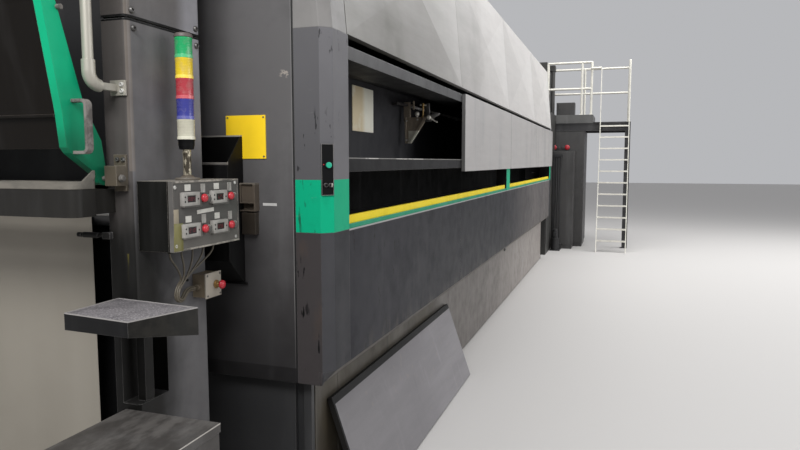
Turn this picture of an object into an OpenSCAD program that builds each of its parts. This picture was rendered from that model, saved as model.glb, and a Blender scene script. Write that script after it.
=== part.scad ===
// Web offset printing press: a printing tower, a long panelled dryer housing
// and the access platform of the next unit.
// Millimetres, +Z up. The origin is on the floor under the middle of the housing.
// +Y runs along the press away from the tower, and +X is the aisle side.

/* [Housing] */
// Length of one bay of the housing
bay_pitch = 2020; // [1700:10:2300]
// Number of bays
bays = 4; // [3:1:6]
// Width over the side panels
house_w = 2500; // [2300:10:2800]
// Length of housing before the first bay
near_margin = 180; // [180:5:260]
// Length of housing after the last bay
far_margin = 60; // [40:5:180]
// Gap between neighbouring panels
seam = 4; // [2:1:8]
// Thickness of the end walls
wall_t = 25; // [15:1:40]
// Thickness of the side sheet panels over their folds
panel_t = 30; // [20:1:40]

/* [Housing heights] */
// Height of the recessed base
base_h = 650; // [500:10:750]
// How far the base stands in from the side panels
base_recess = 126; // [90:2:180]
// Height and run of the sloped lip under the body
lip_h = 55; // [40:1:80]
// Height of the lower side panels
lower_h = 565; // [450:5:650]
// Height of the green strip on the sill
green_h = 20; // [10:1:30]
// Height of the yellow bar on the sill
yellow_h = 35; // [25:1:45]
// Height of the open slot over the sill
slot_h = 184; // [140:2:240]
// Thickness of the shelf between slot and opening
shelf_t = 59; // [40:1:80]
// Height of the upper opening
opening_h = 400; // [300:5:480]
// Thickness of the header over the opening
header_t = 54; // [40:1:80]
// Height of the shadow gap under the canopy
gap_h = 44; // [30:1:70]
// Height of the leaning canopy panels
canopy_h = 884; // [600:4:1000]
// How far the canopy leans in at its top
canopy_lean = 80; // [0:2:140]
// How far the cross break stands out at a panel's centre
cross_break = 14; // [4:1:30]
// Depth of the openings behind the side panels
opening_d = 400; // [250:5:450]

/* [Posts] */
// Length of a corner post along the housing
post_l = 190; // [190:5:260]
// Width of a corner post across the housing
post_w = 150; // [110:5:200]
// Chamfer on the outer edge of a corner post
post_chamfer = 40; // [20:1:60]
// Length of the middle post along the housing
bay_post_l = 200; // [120:5:260]

/* [Lift off covers] */
// Height of a cover
cover_h = 540; // [460:5:600]
// Depth of a cover's folded tray
cover_t = 25; // [18:1:40]
// How far a cover hangs below the top of the shelf
cover_drop = 84; // [60:1:84]
// Lean of the cover that stands against the base, in degrees
cover_lean = 19; // [12:1:24]

/* [Tower] */
// Distance from the tower columns to the housing
tower_gap = 206; // [200:2:260]
// Depth of a column along the press
column_d = 388; // [372:4:420]
// Thickness of a column
column_t = 98; // [80:1:120]
// Distance between the columns' inner faces
tower_w = 1452; // [1400:4:1500]
// Height of the joint between lower and upper columns
column_joint_z = 2006; // [1950:2:2100]
// Height of the tower
tower_h = 2900; // [2860:10:3000]
// Round on the columns' outer edges
column_round = 18; // [8:1:30]

/* [Guard] */
// Height of the guard's hinge
guard_z = 1498; // [1490:1:1510]
// Thickness of a guard arm
arm_t = 30; // [20:1:30]
// Diameter of the hinge pin
pin_d = 14; // [10:1:18]
// Running clearance round pins and journals
run_gap = 0.5; // [0.3:0.1:1]

/* [Rollers and web] */
// Diameter of the two web rollers
roller_d = 120; // [90:2:130]
// Diameter of the nip roller
nip_d = 34; // [24:1:44]
// Diameter of the roller journals
journal_d = 30; // [20:1:40]
// Height of the upper web roller
web_top_z = 1370; // [1320:5:1400]
// Height of the lower web roller
web_low_z = 330; // [250:5:500]
// Width of the paper web
web_w = 950; // [700:10:1200]
// Thickness of the paper web
web_t = 1.5; // [1:0.5:3]

/* [Controls] */
// Width of the control box along the press
box_l = 378; // [340:2:400]
// Height of the control box
box_h = 231; // [210:1:260]
// Depth of the control box
box_d = 139; // [110:1:160]
// Height of the control box's underside
box_z = 1257; // [1240:1:1300]
// Diameter of the stack light
light_d = 60; // [50:1:70]
// Height of one lens of the stack light
lens_h = 69; // [50:1:80]
// Diameter of a control cable
cable_d = 7; // [5:0.5:9]

/* [Platform and ladder] */
// Distance from the housing to the next unit
far_gap = 380; // [300:10:600]
// Length of the next unit along the press
far_l = 2300; // [2000:10:2600]
// Width of the next unit
far_w = 2300; // [2100:10:2500]
// Height of the next unit
far_h = 3400; // [3300:10:3600]
// Height of the platform's walking surface
deck_z = 2400; // [2300:10:2500]
// Width of the platform beside the unit
deck_w = 1300; // [1100:10:1500]
// Length of the platform along the press
deck_l = 1000; // [900:10:1200]
// Depth of the platform's deck pans
deck_t = 145; // [60:5:160]
// Depth of the beams under the deck
beam_h = 145; // [80:5:180]
// Height of the handrail over the deck
rail_h = 930; // [900:10:1100]
// Diameter of the handrail tubes
tube_d = 42; // [33:1:48]
// Width of the ladder over its stringers
ladder_w = 500; // [450:5:600]
// How far the ladder's foot stands out from the deck
ladder_run = 660; // [500:10:800]
// Number of treads
treads = 11; // [9:1:12]

/* [Hidden] */
$fn = 40;

half_w = house_w / 2;
house_l = near_margin + bays * bay_pitch + far_margin;
near_y = -house_l / 2;
seams_y = [for (i = [0:bays]) near_margin + i * bay_pitch];

// Heights of the housing, from the floor up
floor_t = 40;
lip_z = base_h + lip_h;
sill_z = lip_z + lower_h;
green_z = sill_z + green_h;
slot_z = green_z + yellow_h;
shelf_z = slot_z + slot_h;
opening_z = shelf_z + shelf_t;
header_z = opening_z + opening_h;
gap_z = header_z + header_t;
canopy_z = gap_z + gap_h;
roof_z = canopy_z + canopy_h;
cover_z = opening_z - cover_drop;

// Planes across the housing
inner_x = half_w - opening_d;
inner_t = 20;
base_x = half_w - base_recess;
base_panel_t = 24;
lip_x = half_w - lip_h;
post_x = half_w - post_w;
base_y = 70;
deck_plate_t = 20;
sides_l = house_l - 2 * post_l;

// Planes of the tower, in the housing's end frame
column_y = -tower_gap - column_d;
column_x = tower_w / 2;
column_out = column_x + column_t;
pivot_y = column_y - 34;
web_y = column_y + 244;
box_y = column_y + 23;
box_top = box_z + box_h;
light_x = column_out + box_d / 2;
light_y = box_y + 171;

// Planes of the next unit
far_y = house_l + far_gap;
deck_back = 1300;
deck_y = far_y + deck_back;
deck_x = far_w / 2;
deck_out = deck_x + deck_w;
ladder_x = deck_out - ladder_w - 20;

// Heights of the bed rails that join tower, housing and next unit
bed_h = 160;
bed_w = 120;
bed_x = column_x - 60;

module at_end() {
    translate([0, near_y, 0]) children();
}

module both_sides() {
    children();
    mirror([1, 0, 0]) children();
}

module far_end() {
    translate([0, house_l, 0]) mirror([0, 1, 0]) children();
}

module both_ends() {
    children();
    far_end() children();
}

module block(at, size) {
    translate(at) cube(size);
}

module bar_x(at, d, l) {
    translate(at) rotate([0, 90, 0]) cylinder(d = d, h = l);
}

module bar_y(at, d, l) {
    translate(at) rotate([-90, 0, 0]) cylinder(d = d, h = l);
}

// Lays an outline drawn in Y and Z at one X, and gives it a thickness along X
module plate_yz(x, t) {
    translate([x, 0, 0]) rotate([90, 0, 90]) linear_extrude(t) children();
}

// Lays an outline drawn in X and Z at one Y, and gives it a thickness along Y
module plate_xz(y, t) {
    translate([0, y + t, 0]) rotate([90, 0, 0]) linear_extrude(t) children();
}

// Recessed base of the housing

module base_plinth() {
    color("#4a4643") at_end()
        block([-base_x + base_panel_t, base_y + base_panel_t, 0],
              [2 * (base_x - base_panel_t), house_l - 2 * (base_y + base_panel_t), base_h]);
}

// The panels stand off the floor by a toe gap and share the housing's bay seams
base_corner_l = 264;
toe_gap = 12;

module base_panel_row() {
    first = base_y + base_corner_l;
    ends = [first, for (i = [1:bays - 1]) first + i * bay_pitch, house_l - base_y - 36];
    block([base_x - base_panel_t, base_y + 36, toe_gap], [base_panel_t, base_corner_l - 36 - seam, base_h - toe_gap]);
    for (i = [0:bays - 1])
        block([base_x - base_panel_t, ends[i], toe_gap],
              [base_panel_t, ends[i + 1] - ends[i] - seam, base_h - toe_gap]);
}

module base_panels() {
    color("#6f655c") at_end() both_sides() base_panel_row();
}

// End panels with a dark slot beside each beige corner angle
base_slot_w = 41;
base_angle_w = 35;

module base_ends() {
    color("#6b6864") at_end() both_ends() {
        block([-base_x + base_angle_w + base_slot_w, base_y, toe_gap],
              [2 * (base_x - base_angle_w - base_slot_w), base_panel_t, base_h - toe_gap]);
        both_sides()
            block([base_x - base_angle_w, base_y, 0], [base_angle_w, base_panel_t, base_h]);
    }
}

module bed_rails() {
    color("#3a3a3c") at_end() both_sides() {
        block([bed_x - bed_w, column_y, 0], [bed_w, base_y - column_y, bed_h]);
        block([bed_x - bed_w, house_l - base_y, 0], [bed_w, far_y - house_l + base_y, bed_h]);
    }
}

// Body of the housing

module corner_section() {
    polygon([
        [post_x, 0], [half_w - post_chamfer, 0], [half_w, post_chamfer],
        [half_w, post_l], [post_x, post_l]
    ]);
}

module body_floor() {
    color("#3c3f44") at_end() difference() {
        block([-lip_x, wall_t, base_h], [2 * lip_x, house_l - 2 * wall_t, floor_t]);
        both_ends() both_sides()
            block([post_x, -1, base_h - 1], [post_w, post_l + 1, floor_t + 2]);
    }
}

module under_lips() {
    color("#a39b8b") at_end() both_sides()
        plate_xz(post_chamfer, house_l - 2 * post_chamfer)
            polygon([[lip_x, base_h], [half_w, lip_z], [lip_x, lip_z]]);
}

module lower_panel_row() {
    ends = [post_l, for (i = [1:bays - 1]) seams_y[i], house_l - post_l];
    for (i = [0:bays - 1])
        block([half_w - panel_t, ends[i] + (i == 0 ? 0 : seam / 2), lip_z],
              [panel_t, ends[i + 1] - ends[i] - (i == 0 || i == bays - 1 ? seam / 2 : seam), lower_h]);
}

module lower_panels() {
    color("#474c56") at_end() both_sides() lower_panel_row();
}

module lower_corners() {
    color("#4b4f57") at_end() both_ends() both_sides() {
        translate([0, 0, lip_z]) linear_extrude(lower_h) corner_section();
        block([post_x, 0, base_h], [lip_x - post_x, post_l, lip_h]);
    }
}

module corner_posts() {
    color("#b9bcbc") at_end() both_ends() both_sides()
        translate([0, 0, sill_z]) linear_extrude(canopy_z - sill_z) corner_section();
}

// The middle post shows as a green band in the slot, and goes on behind the covers
bay_post_d = 100;
bay_post_y = seams_y[floor(bays / 2)] - bay_post_l / 2;

module bay_posts() {
    color("#2f7a4d") at_end() both_sides() {
        block([half_w - bay_post_d, bay_post_y, sill_z], [bay_post_d, bay_post_l, shelf_z - sill_z]);
        block([half_w - bay_post_d, bay_post_y, opening_z], [bay_post_d, bay_post_l, opening_h]);
    }
}

sill_runs = [[post_l, bay_post_y], [bay_post_y + bay_post_l, house_l - post_l]];
bar_short = 24;

module sill_strips() {
    color("#3d8a5a") at_end() both_sides() for (run = sill_runs)
        block([half_w - panel_t, run[0], sill_z], [panel_t - 4, run[1] - run[0], green_h]);
}

module sill_bars() {
    color("#d8b62a") at_end() both_sides() for (run = sill_runs)
        block([half_w - panel_t, run[0] + bar_short, green_z],
              [panel_t - 12, run[1] - run[0] - 2 * bar_short, yellow_h]);
}

module sill_decks() {
    color("#2e3033") at_end() both_sides()
        block([inner_x, post_l, sill_z - deck_plate_t],
              [opening_d - panel_t, sides_l, deck_plate_t]);
}

module shelf_beams() {
    color("#b4b6b5") at_end() both_sides()
        block([inner_x, post_l, shelf_z], [opening_d, sides_l, shelf_t]);
}

header_d = 170;

module header_beams() {
    color("#a9abab") at_end() both_sides()
        block([half_w - header_d, post_l, header_z], [header_d, sides_l, header_t]);
}

module inner_walls() {
    color("#2b2c2e") at_end() both_sides()
        block([inner_x - inner_t, wall_t, base_h + floor_t],
              [inner_t, house_l - 2 * wall_t, gap_z - base_h - floor_t]);
}

module gap_plate() {
    color("#1f2022") at_end()
        block([-post_x, wall_t, gap_z], [2 * post_x, house_l - 2 * wall_t, gap_h]);
}

// The web enters through a slot in the near wall
slot_w = web_w + 60;
web_slot_h = 60;

module end_wall() {
    block([-post_x, 0, base_h], [2 * post_x, wall_t, roof_z - base_h]);
}

module end_walls() {
    color("#54575b") at_end() {
        difference() {
            end_wall();
            block([-slot_w / 2, -1, web_top_z + roller_d / 2 - web_slot_h / 2],
                  [slot_w, wall_t + 2, web_slot_h]);
        }
        far_end() end_wall();
    }
}

// Canopy of leaning panels, each cross broken from its corners to its centre

canopy_angle = atan2(canopy_lean, canopy_h);
canopy_slope = canopy_h / cos(canopy_angle);
rib_x = half_w - panel_t / cos(canopy_angle);
rib_t = 40;
rib_rim = 90;

module rib_outline(rim) {
    polygon([
        [-rib_x + rim, canopy_z + rim], [rib_x - rim, canopy_z + rim],
        [rib_x - canopy_lean - rim, roof_z - rim], [-rib_x + canopy_lean + rim, roof_z - rim]
    ]);
}

module canopy_ribs() {
    first = max(seams_y[0], post_l);
    color("#6d7072") at_end()
        for (y = [first, for (i = [1:bays - 1]) seams_y[i] - rib_t / 2, seams_y[bays] - rib_t])
            plate_xz(y, rib_t) difference() {
                rib_outline(0);
                rib_outline(rib_rim);
            }
}

// A panel stands upright with its outer side to +X: four facets meet at its centre
module cross_broken(l) {
    points = [
        [0, 0, 0], [0, l, 0], [0, l, canopy_slope], [0, 0, canopy_slope],
        [panel_t, 0, 0], [panel_t, l, 0], [panel_t, l, canopy_slope], [panel_t, 0, canopy_slope],
        [panel_t + cross_break, l / 2, canopy_slope / 2]
    ];
    sides = [for (i = [0:3]) [i + 4, (i + 1) % 4 + 4, (i + 1) % 4, i]];
    facets = [for (i = [0:3]) [8, (i + 1) % 4 + 4, i + 4]];
    polyhedron(points, concat([[0, 1, 2, 3]], sides, facets));
}

module canopy_panels() {
    color("#c3c6c6") at_end() both_sides() for (i = [0:bays - 1])
        translate([rib_x, seams_y[i] + seam / 2, canopy_z]) rotate([0, -canopy_angle, 0])
            cross_broken(bay_pitch - seam);
}

// The corner pieces fill the ends beside the end walls
module canopy_corner(l) {
    hull() {
        translate([0, 0, canopy_z]) linear_extrude(1)
            polygon([[post_x, 0], [half_w - post_chamfer, 0], [half_w, post_chamfer], [half_w, l], [post_x, l]]);
        translate([0, 0, roof_z - 1]) linear_extrude(1)
            polygon([
                [post_x, 0], [half_w - canopy_lean - post_chamfer, 0],
                [half_w - canopy_lean, post_chamfer], [half_w - canopy_lean, l], [post_x, l]
            ]);
    }
}

module canopy_corners() {
    color("#8d9091") at_end() {
        both_sides() canopy_corner(seams_y[0] - seam);
        far_end() both_sides() canopy_corner(far_margin - seam);
    }
}

module roof_panels() {
    roof_x = rib_x - canopy_lean;
    color("#a7a9a9") at_end()
        block([-roof_x, 0, roof_z], [2 * roof_x, house_l, wall_t]);
}

// A cover is a tray folded from sheet, open to the back
sheet_t = 3;

module cover_tray(l, h) {
    difference() {
        cube([cover_t, l, h]);
        translate([-1, sheet_t, sheet_t]) cube([cover_t - sheet_t + 1, l - 2 * sheet_t, h - 2 * sheet_t]);
    }
}

module cover_row(first) {
    for (i = [first:bays - 1])
        translate([half_w, seams_y[i] + seam, cover_z]) cover_tray(bay_pitch - 2 * seam, cover_h);
}

module cover_panels() {
    color("#c9cbca") at_end() {
        cover_row(1);
        mirror([1, 0, 0]) cover_row(0);
    }
}

// The first bay's cover is off and stands against the base, its open side inwards
module leaning_cover() {
    foot_x = base_x + cover_h * sin(cover_lean);
    color("#cfd0cc") at_end() translate([foot_x, near_margin + 36, 0])
        rotate([0, -cover_lean, 0]) cover_tray(bay_pitch - 2 * seam, cover_h);
}

// Fittings inside the upper opening

rail_d = 20;
rail_first = 1620;
rail_y = near_margin + rail_first;
rail_l = 1900;
rail_x = inner_x + 50;
rail_z = header_z - 28;
clamp_gap = 0.3;
clamp_w = 44;
clamp_t = 25;
bracket_y = rail_y + 220;

module clamp_rail() {
    color("#9a9c9c") at_end() {
        bar_y([rail_x, rail_y, rail_z], rail_d, rail_l);
        for (y = [rail_y + 60, rail_y + rail_l - 80])
            block([inner_x, y, rail_z - 8], [rail_x - inner_x - rail_d / 2 + 1, 20, 16]);
    }
}

// Gusset with a folded rim, hung from the rail by a clamp with a wing knob
bracket_top = rail_z - 82;
bracket_w = 162;
bracket_h = 180;
bracket_rim = 10;

module bracket_outline() {
    translate([rail_x - 9, bracket_top])
        polygon([[0, 0], [bracket_w, 0], [bracket_w - 8, -18], [44, -bracket_h], [4, -bracket_h]]);
}

module clamp_bracket() {
    color("#a5977a") at_end() {
        plate_xz(bracket_y, 3) bracket_outline();
        plate_xz(bracket_y - 18, 18) difference() {
            bracket_outline();
            translate([rail_x - 9 + bracket_rim, bracket_top + 1])
                polygon([
                    [0, 0], [bracket_w - 3 * bracket_rim, 0], [44 - 1.5 * bracket_rim, bracket_rim - bracket_h - 1],
                    [0, bracket_rim - bracket_h - 1]
                ]);
        }
        difference() {
            block([rail_x - clamp_w / 2, bracket_y + 3, bracket_top - 30], [clamp_w, clamp_t, rail_z - bracket_top + 52]);
            bar_y([rail_x, bracket_y + 2, rail_z], rail_d + 2 * clamp_gap, clamp_t + 2);
        }
        bar_x([rail_x + clamp_w / 2, bracket_y + 3 + clamp_t / 2, rail_z], 16, 30);
        translate([rail_x + clamp_w / 2 + 22, bracket_y + 3, rail_z - 30]) cube([8, clamp_t, 60]);
    }
}

// Fittings on the near end wall

plate_t = 4;
notice_first = 990;
notice_y = near_margin + notice_first;
notice_l = 330;
notice_h = 260;
notice_z = header_z - notice_h + 22;
sign_w = 183;
sign_h = 174;
sign_z = opening_z - 5;

module sign_plates() {
    color("#d9bf2c") at_end() {
        block([post_x - 310, -plate_t, sign_z], [sign_w, plate_t, sign_h]);
        block([inner_x, notice_y, notice_z], [plate_t, notice_l, notice_h]);
    }
}

bin_w = 235;
bin_d = 110;
bin_x = post_x - 470;
bin_back = plate_t;
bin_top = opening_z + 90;
bin_lip = bin_top - 113;
bin_low = bin_lip - 388;
bin_taper = 107;
bin_rod_d = 9;

// Hopper with a high back, sloped cheeks and a front that tapers back to the wall
module tool_bin() {
    color("#26272a") at_end() {
        difference() {
            plate_yz(bin_x, bin_w)
                polygon([
                    [-bin_back, bin_low - bin_taper], [-bin_back, bin_top], [-bin_back - 10, bin_top],
                    [-bin_back - bin_d, bin_lip], [-bin_back - bin_d, bin_low]
                ]);
            plate_yz(bin_x + sheet_t, bin_w - 2 * sheet_t)
                polygon([
                    [-bin_back - sheet_t, bin_low], [-bin_back - sheet_t, bin_top + 1],
                    [-bin_back - bin_d + sheet_t, bin_top + 1], [-bin_back - bin_d + sheet_t, bin_low]
                ]);
        }
        for (z = [bin_low + 60, bin_low + 240])
            block([bin_x + 20, -bin_back, z], [40, bin_back, 40]);
        translate([bin_x, -bin_back - bin_d, bin_lip]) rotate([0, 90, 0]) cylinder(d = 6, h = bin_w);
        bar_x([bin_x + bin_w / 2, -bin_back - bin_rod_d, bin_low - bin_taper + 2], bin_rod_d, bin_w / 2 + 14);
    }
}

// Latch of the end wall: a recessed grip, a slot under it and a keeper block below
latch_w = 70;
latch_x = post_x - 234;
latch_wall = 5;
latch_grip_h = 82;
latch_slot_h = 32;
latch_depth = 34;

module latch_blocks() {
    z = slot_z + 27;
    color("#a39b89") at_end() {
        difference() {
            block([latch_x, -latch_depth, z], [latch_w, latch_depth, latch_slot_h + latch_grip_h]);
            block([latch_x + latch_wall, -latch_depth - 1, z + latch_slot_h + latch_wall],
                  [latch_w - 3 * latch_wall, 12, latch_grip_h - 2 * latch_wall]);
            block([latch_x - 1, -latch_depth - 1, z + latch_wall],
                  [latch_w - latch_wall, latch_depth - 5, latch_slot_h - latch_wall]);
        }
        block([latch_x + 4, 6 - latch_depth, z - 94], [latch_w - 8, latch_depth - 6, 88]);
    }
}

// Control strip on the chamfer of the near corner post
strip_w = 50;
strip_z = slot_z + 95;
strip_h = 200;

module post_controls() {
    c = post_chamfer / 2;
    color("#232427") at_end()
        translate([half_w - c, c, strip_z]) rotate([0, 0, 45]) {
            block([-strip_w / 2, -4, 0], [strip_w, 4, strip_h]);
            block([3 - strip_w / 2, -7, 3], [strip_w - 6, 3, strip_h - 6]);
            translate([2, -7, strip_h * 0.59]) rotate([90, 0, 0]) {
                cylinder(d = 27, h = 4);
                cylinder(d = 22, h = 11);
            }
            for (x = [-9, 10])
                translate([x, -7, strip_h * 0.2]) rotate([90, 0, 0]) cylinder(d = 14, h = 10);
            block([8, -24, strip_h * 0.2 - 2], [4, 17, 4]);
        }
}

// Printing tower

// Plan outline of a column: square inside, rounded on its two outer edges
module column_plan() {
    translate([column_x, column_y]) {
        square([column_t - column_round, column_d]);
        translate([0, column_round]) square([column_t, column_d - 2 * column_round]);
        for (y = [column_round, column_d - column_round])
            translate([column_t - column_round, y]) circle(r = column_round);
    }
}

bore_d = journal_d + 2 * run_gap;
bore_depth = 40;
nip_y = column_y + 40;
nip_z = web_top_z + 16;

// Cap over a roller's bearing on a column's outer face
cap_d = 112;
cap_t = 12;

module bearing_cap(y, z) {
    bar_x([column_out, y, z], cap_d, cap_t);
    bar_x([column_out + cap_t, y, z], cap_d * 0.55, 6);
    for (a = [45:90:315])
        bar_x([column_out + cap_t, y + cap_d * 0.38 * cos(a), z + cap_d * 0.38 * sin(a)], 12, 5);
}

// Each lower length is notched at its outer near edge, round an upright bar
notch_z = 740;
notch_h = 255;
notch_l = 144;
notch_d = 70;
notch_bar_y = 37;
notch_bar_l = 42;
notch_bar_t = 32;

module column_notch() {
    translate([column_out - notch_d, column_y, notch_z]) difference() {
        translate([0, -1, 0]) cube([notch_d + 1, notch_l + 1, notch_h]);
        translate([notch_d - notch_bar_t - 8, notch_bar_y, -1]) cube([notch_bar_t, notch_bar_l, notch_h + 2]);
    }
}

module columns_lower() {
    color("#8b8e90") at_end() {
        both_sides() difference() {
            linear_extrude(column_joint_z) column_plan();
            column_notch();
            for (z = [web_top_z, web_low_z])
                bar_x([column_x - 1, web_y, z], bore_d, bore_depth + 1);
            bar_x([column_x - 1, nip_y, nip_z], nip_d / 2 + 2 * run_gap, bore_depth + 1);
        }
        both_sides() bearing_cap(web_y, web_low_z);
        mirror([1, 0, 0]) bearing_cap(web_y, web_top_z);
        translate([column_x - 118, column_y - 6, web_top_z - 62]) {
            bar_x([0, 0, 0], 11, 112);
            bar_x([16, 0, 0], 19, 62);
            bar_x([-8, 0, 0], 16, 14);
            block([98, -8, -11], [32, 14, 22]);
        }
    }
}

// The upper lengths stand on a thinner plate that leaves a dark line at the joint
joint_gap = 5;
joint_in = 7;

module columns_upper() {
    color("#8b8e90") at_end() both_sides() {
        translate([column_x + joint_in, column_y + joint_in, column_joint_z])
            cube([column_t - 2 * joint_in, column_d - 2 * joint_in, joint_gap]);
        translate([0, 0, column_joint_z + joint_gap])
            linear_extrude(tower_h - column_joint_z - joint_gap) column_plan();
    }
}

module tower_back() {
    z = web_top_z + roller_d / 2;
    color("#1e1f21") at_end() difference() {
        block([-column_x, -tower_gap - 30, bed_h], [tower_w, 20, tower_h - bed_h]);
        block([-slot_w / 2, -tower_gap - 31, z - web_slot_h / 2], [slot_w, 22, web_slot_h]);
    }
}

// Cap beam across the columns, with a rib along each edge
cap_beam_h = 60;
cap_rib = 14;

module tower_top() {
    color("#7c7f81") at_end() {
        block([-column_out, column_y, tower_h], [2 * column_out, column_d, cap_beam_h / 2]);
        for (y = [column_y, column_y + column_d - cap_rib])
            block([-column_out, y, tower_h + cap_beam_h / 2], [2 * column_out, cap_rib, cap_beam_h / 2]);
    }
}

grab_d = 32;
grab_out = 116;
grab_low = 1786;
grab_high = tower_h - 120;
grab_x = column_x + 54;
grab_bend = 40;
socket_d = grab_d + 8;
grab_arm_h = 22;

// A tube between two cast sockets, whose flat arms are flanged to the column
module grab_rails() {
    tube_y = column_y - grab_out;
    color("#a9abad") at_end() both_sides() {
        translate([grab_x, tube_y, grab_low + grab_bend])
            cylinder(d = grab_d, h = grab_high - grab_low - 2 * grab_bend);
        translate([grab_x, tube_y + grab_bend, grab_low + grab_bend]) {
            rotate([0, -90, 0]) rotate([0, 0, 180]) rotate_extrude(angle = 90)
                translate([grab_bend, 0]) circle(d = socket_d);
            translate([0, -grab_bend, 0]) cylinder(d = socket_d, h = 34);
        }
        translate([grab_x, tube_y + grab_bend, grab_high - grab_bend]) {
            rotate([0, -90, 0]) rotate([0, 0, 270]) rotate_extrude(angle = 90)
                translate([grab_bend, 0]) circle(d = socket_d);
            translate([0, -grab_bend, -34]) cylinder(d = socket_d, h = 34);
        }
        for (z = [grab_low, grab_high]) {
            block([grab_x - 9, tube_y + grab_bend, z - grab_arm_h / 2], [18, grab_out - grab_bend, grab_arm_h]);
            block([grab_x - 20, column_y - 8, z - 24], [58, 8, 48]);
        }
    }
}

// Guard over the inking rollers, on two curved arms

arm_x = column_x - 14;
arm_out = arm_x + arm_t;
boss_r = 22;
hinge_x = arm_out + 22;
hinge_w = 46;

// Outline of an arm in Y and Z, from the hinge boss to its top, with its corners rounded
arm_corner = 9;

module arm_outline() {
    y = pivot_y;
    z = guard_z;
    offset(arm_corner, $fn = 24) offset(delta = -arm_corner)
        polygon([
            [y + 16, z + 10], [y - 2, z + 120], [y - 20, z + 150], [y - 69, z + 236], [y - 157, z + 522],
            [y - 262, z + 900], [y - 312, z + 890], [y - 207, z + 512], [y - 153, z + 209],
            [y - 140, z + 96], [y - 126, z + 78], [y - 32, z + 16], [y - 14, z - 16]
        ]);
}

peg_d = 16;

module guard_arms() {
    color("#3a7d52") at_end() both_sides() {
        plate_yz(arm_x, arm_t) arm_outline();
        bar_x([arm_x, pivot_y, guard_z], 2 * boss_r, arm_t);
        bar_x([arm_out - 1, pivot_y, guard_z], pin_d, hinge_x + hinge_w - arm_out + 5);
        bar_x([hinge_x + hinge_w + 2, pivot_y, guard_z], 24, 6);
        bar_x([hinge_x + hinge_w + 8, pivot_y, guard_z], 18, 6);
        bar_x([arm_out - 1, pivot_y - 152, guard_z + 505], peg_d, 16);
        guard_handle();
    }
}

// Handle of bent strap on an arm's outer face, with room for four fingers
strap_w = 24;
strap_t = 10;
handle_out = 58;
handle_h = 166;
handle_bend = 20;

module handle_outline(inset) {
    r = handle_bend - inset;
    hull() {
        translate([-1, inset]) square([1, handle_h - 2 * inset]);
        for (z = [inset + r, handle_h - inset - r])
            translate([handle_out - inset - r, z]) circle(r = r, $fn = 32);
    }
}

module guard_handle() {
    translate([arm_out, pivot_y - 119, guard_z + 76])
        plate_xz(0, strap_w) difference() {
            handle_outline(0);
            translate([-2, 0]) square([2, handle_h]);
            handle_outline(strap_t);
            translate([-1, strap_t]) square([strap_t, handle_h - 2 * strap_t]);
        }
}

// Hood in two sheets: the upper one laps over the lower and ends in a hem
hood_seam = 190;
hood_t = 10;
hem_d = 10;

module guard_hood() {
    y = pivot_y;
    z = guard_z;
    color("#3b2f29") at_end() {
        plate_yz(-arm_x, 2 * arm_x) {
            polygon([
                [y - 151, z + hood_seam], [y - 153, z + 209], [y - 207, z + 512], [y - 312, z + 890],
                [y - 300, z + 893], [y - 193, z + 512], [y - 139, z + 209], [y - 137, z + hood_seam]
            ]);
            polygon([
                [y - 126, z + 92], [y - 141, z + hood_seam + 4], [y - 141 + hood_t, z + hood_seam + 4],
                [y - 126 + hood_t, z + 92]
            ]);
        }
        bar_x([-arm_x, y - 150, z + hood_seam], hem_d, 2 * arm_x);
    }
}

module guard_brackets() {
    color("#a0947c") at_end() both_sides() difference() {
        union() {
            block([hinge_x, pivot_y - 18, guard_z - 24], [hinge_w, column_y - pivot_y + 8, 64]);
            block([hinge_x, column_y - 10, guard_z - 42], [hinge_w, 10, 118]);
        }
        bar_x([hinge_x - 1, pivot_y, guard_z], pin_d + 2 * run_gap, hinge_w + 2);
        for (x = [hinge_x + 13, hinge_x + hinge_w - 13])
            bar_y([x, column_y - 11, guard_z + 60], 11, 12);
    }
}

// Trough in front of the columns, under the guard
tray_x = column_x + 36;
tray_z = 1380;
tray_top = 1490;
tray_d = 86;
tray_back = column_y - 92;
tray_t = 4;
tray_corner = 34;
tray_rim_h = 23;
cheek_rise = 34;
cheek_rim = 12;

module tray_plan(inset) {
    r = tray_corner - inset;
    y = tray_back - tray_d + tray_corner;
    square_x = tray_x - inset;
    hull() {
        translate([-square_x, y]) square([2 * square_x, tray_d - tray_corner - inset]);
        for (x = [r - square_x, square_x - r])
            translate([x, y]) circle(r = r, $fn = 48);
    }
}

// The trough's ends rise to the back, and a band runs along the front and up each end
module drip_tray() {
    color("#5d6064") at_end() {
        difference() {
            translate([0, 0, tray_z]) linear_extrude(tray_top - tray_z) tray_plan(0);
            translate([0, 0, tray_z + tray_t]) linear_extrude(tray_top - tray_z) tray_plan(tray_t);
        }
        difference() {
            translate([0, 0, tray_top - tray_rim_h]) linear_extrude(tray_rim_h) offset(2) tray_plan(0);
            translate([0, 0, tray_top - tray_rim_h - 1]) linear_extrude(tray_rim_h + 2) tray_plan(tray_t);
            translate([-tray_x - 3, tray_back - tray_t, tray_top - tray_rim_h - 1])
                cube([2 * tray_x + 6, 10, tray_rim_h + 2]);
        }
        both_sides() {
            plate_yz(tray_x - tray_t, tray_t)
                polygon([
                    [tray_back - tray_d + tray_corner, tray_top], [tray_back, tray_top],
                    [tray_back, tray_top + cheek_rise], [tray_back - 6, tray_top + cheek_rise]
                ]);
            plate_yz(tray_x, 2)
                polygon([
                    [tray_back - tray_d + tray_corner, tray_top - tray_rim_h],
                    [tray_back - tray_d + tray_corner, tray_top], [tray_back - 6, tray_top + cheek_rise],
                    [tray_back, tray_top + cheek_rise], [tray_back, tray_top + cheek_rise - cheek_rim - 10],
                    [tray_back - tray_d + tray_corner + 18, tray_top - tray_rim_h]
                ]);
            block([column_x + 2, tray_back - 1, tray_z + 5], [26, column_y - tray_back + 1, 78]);
        }
    }
}

// Rollers turn on journals in the columns' bores

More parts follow.
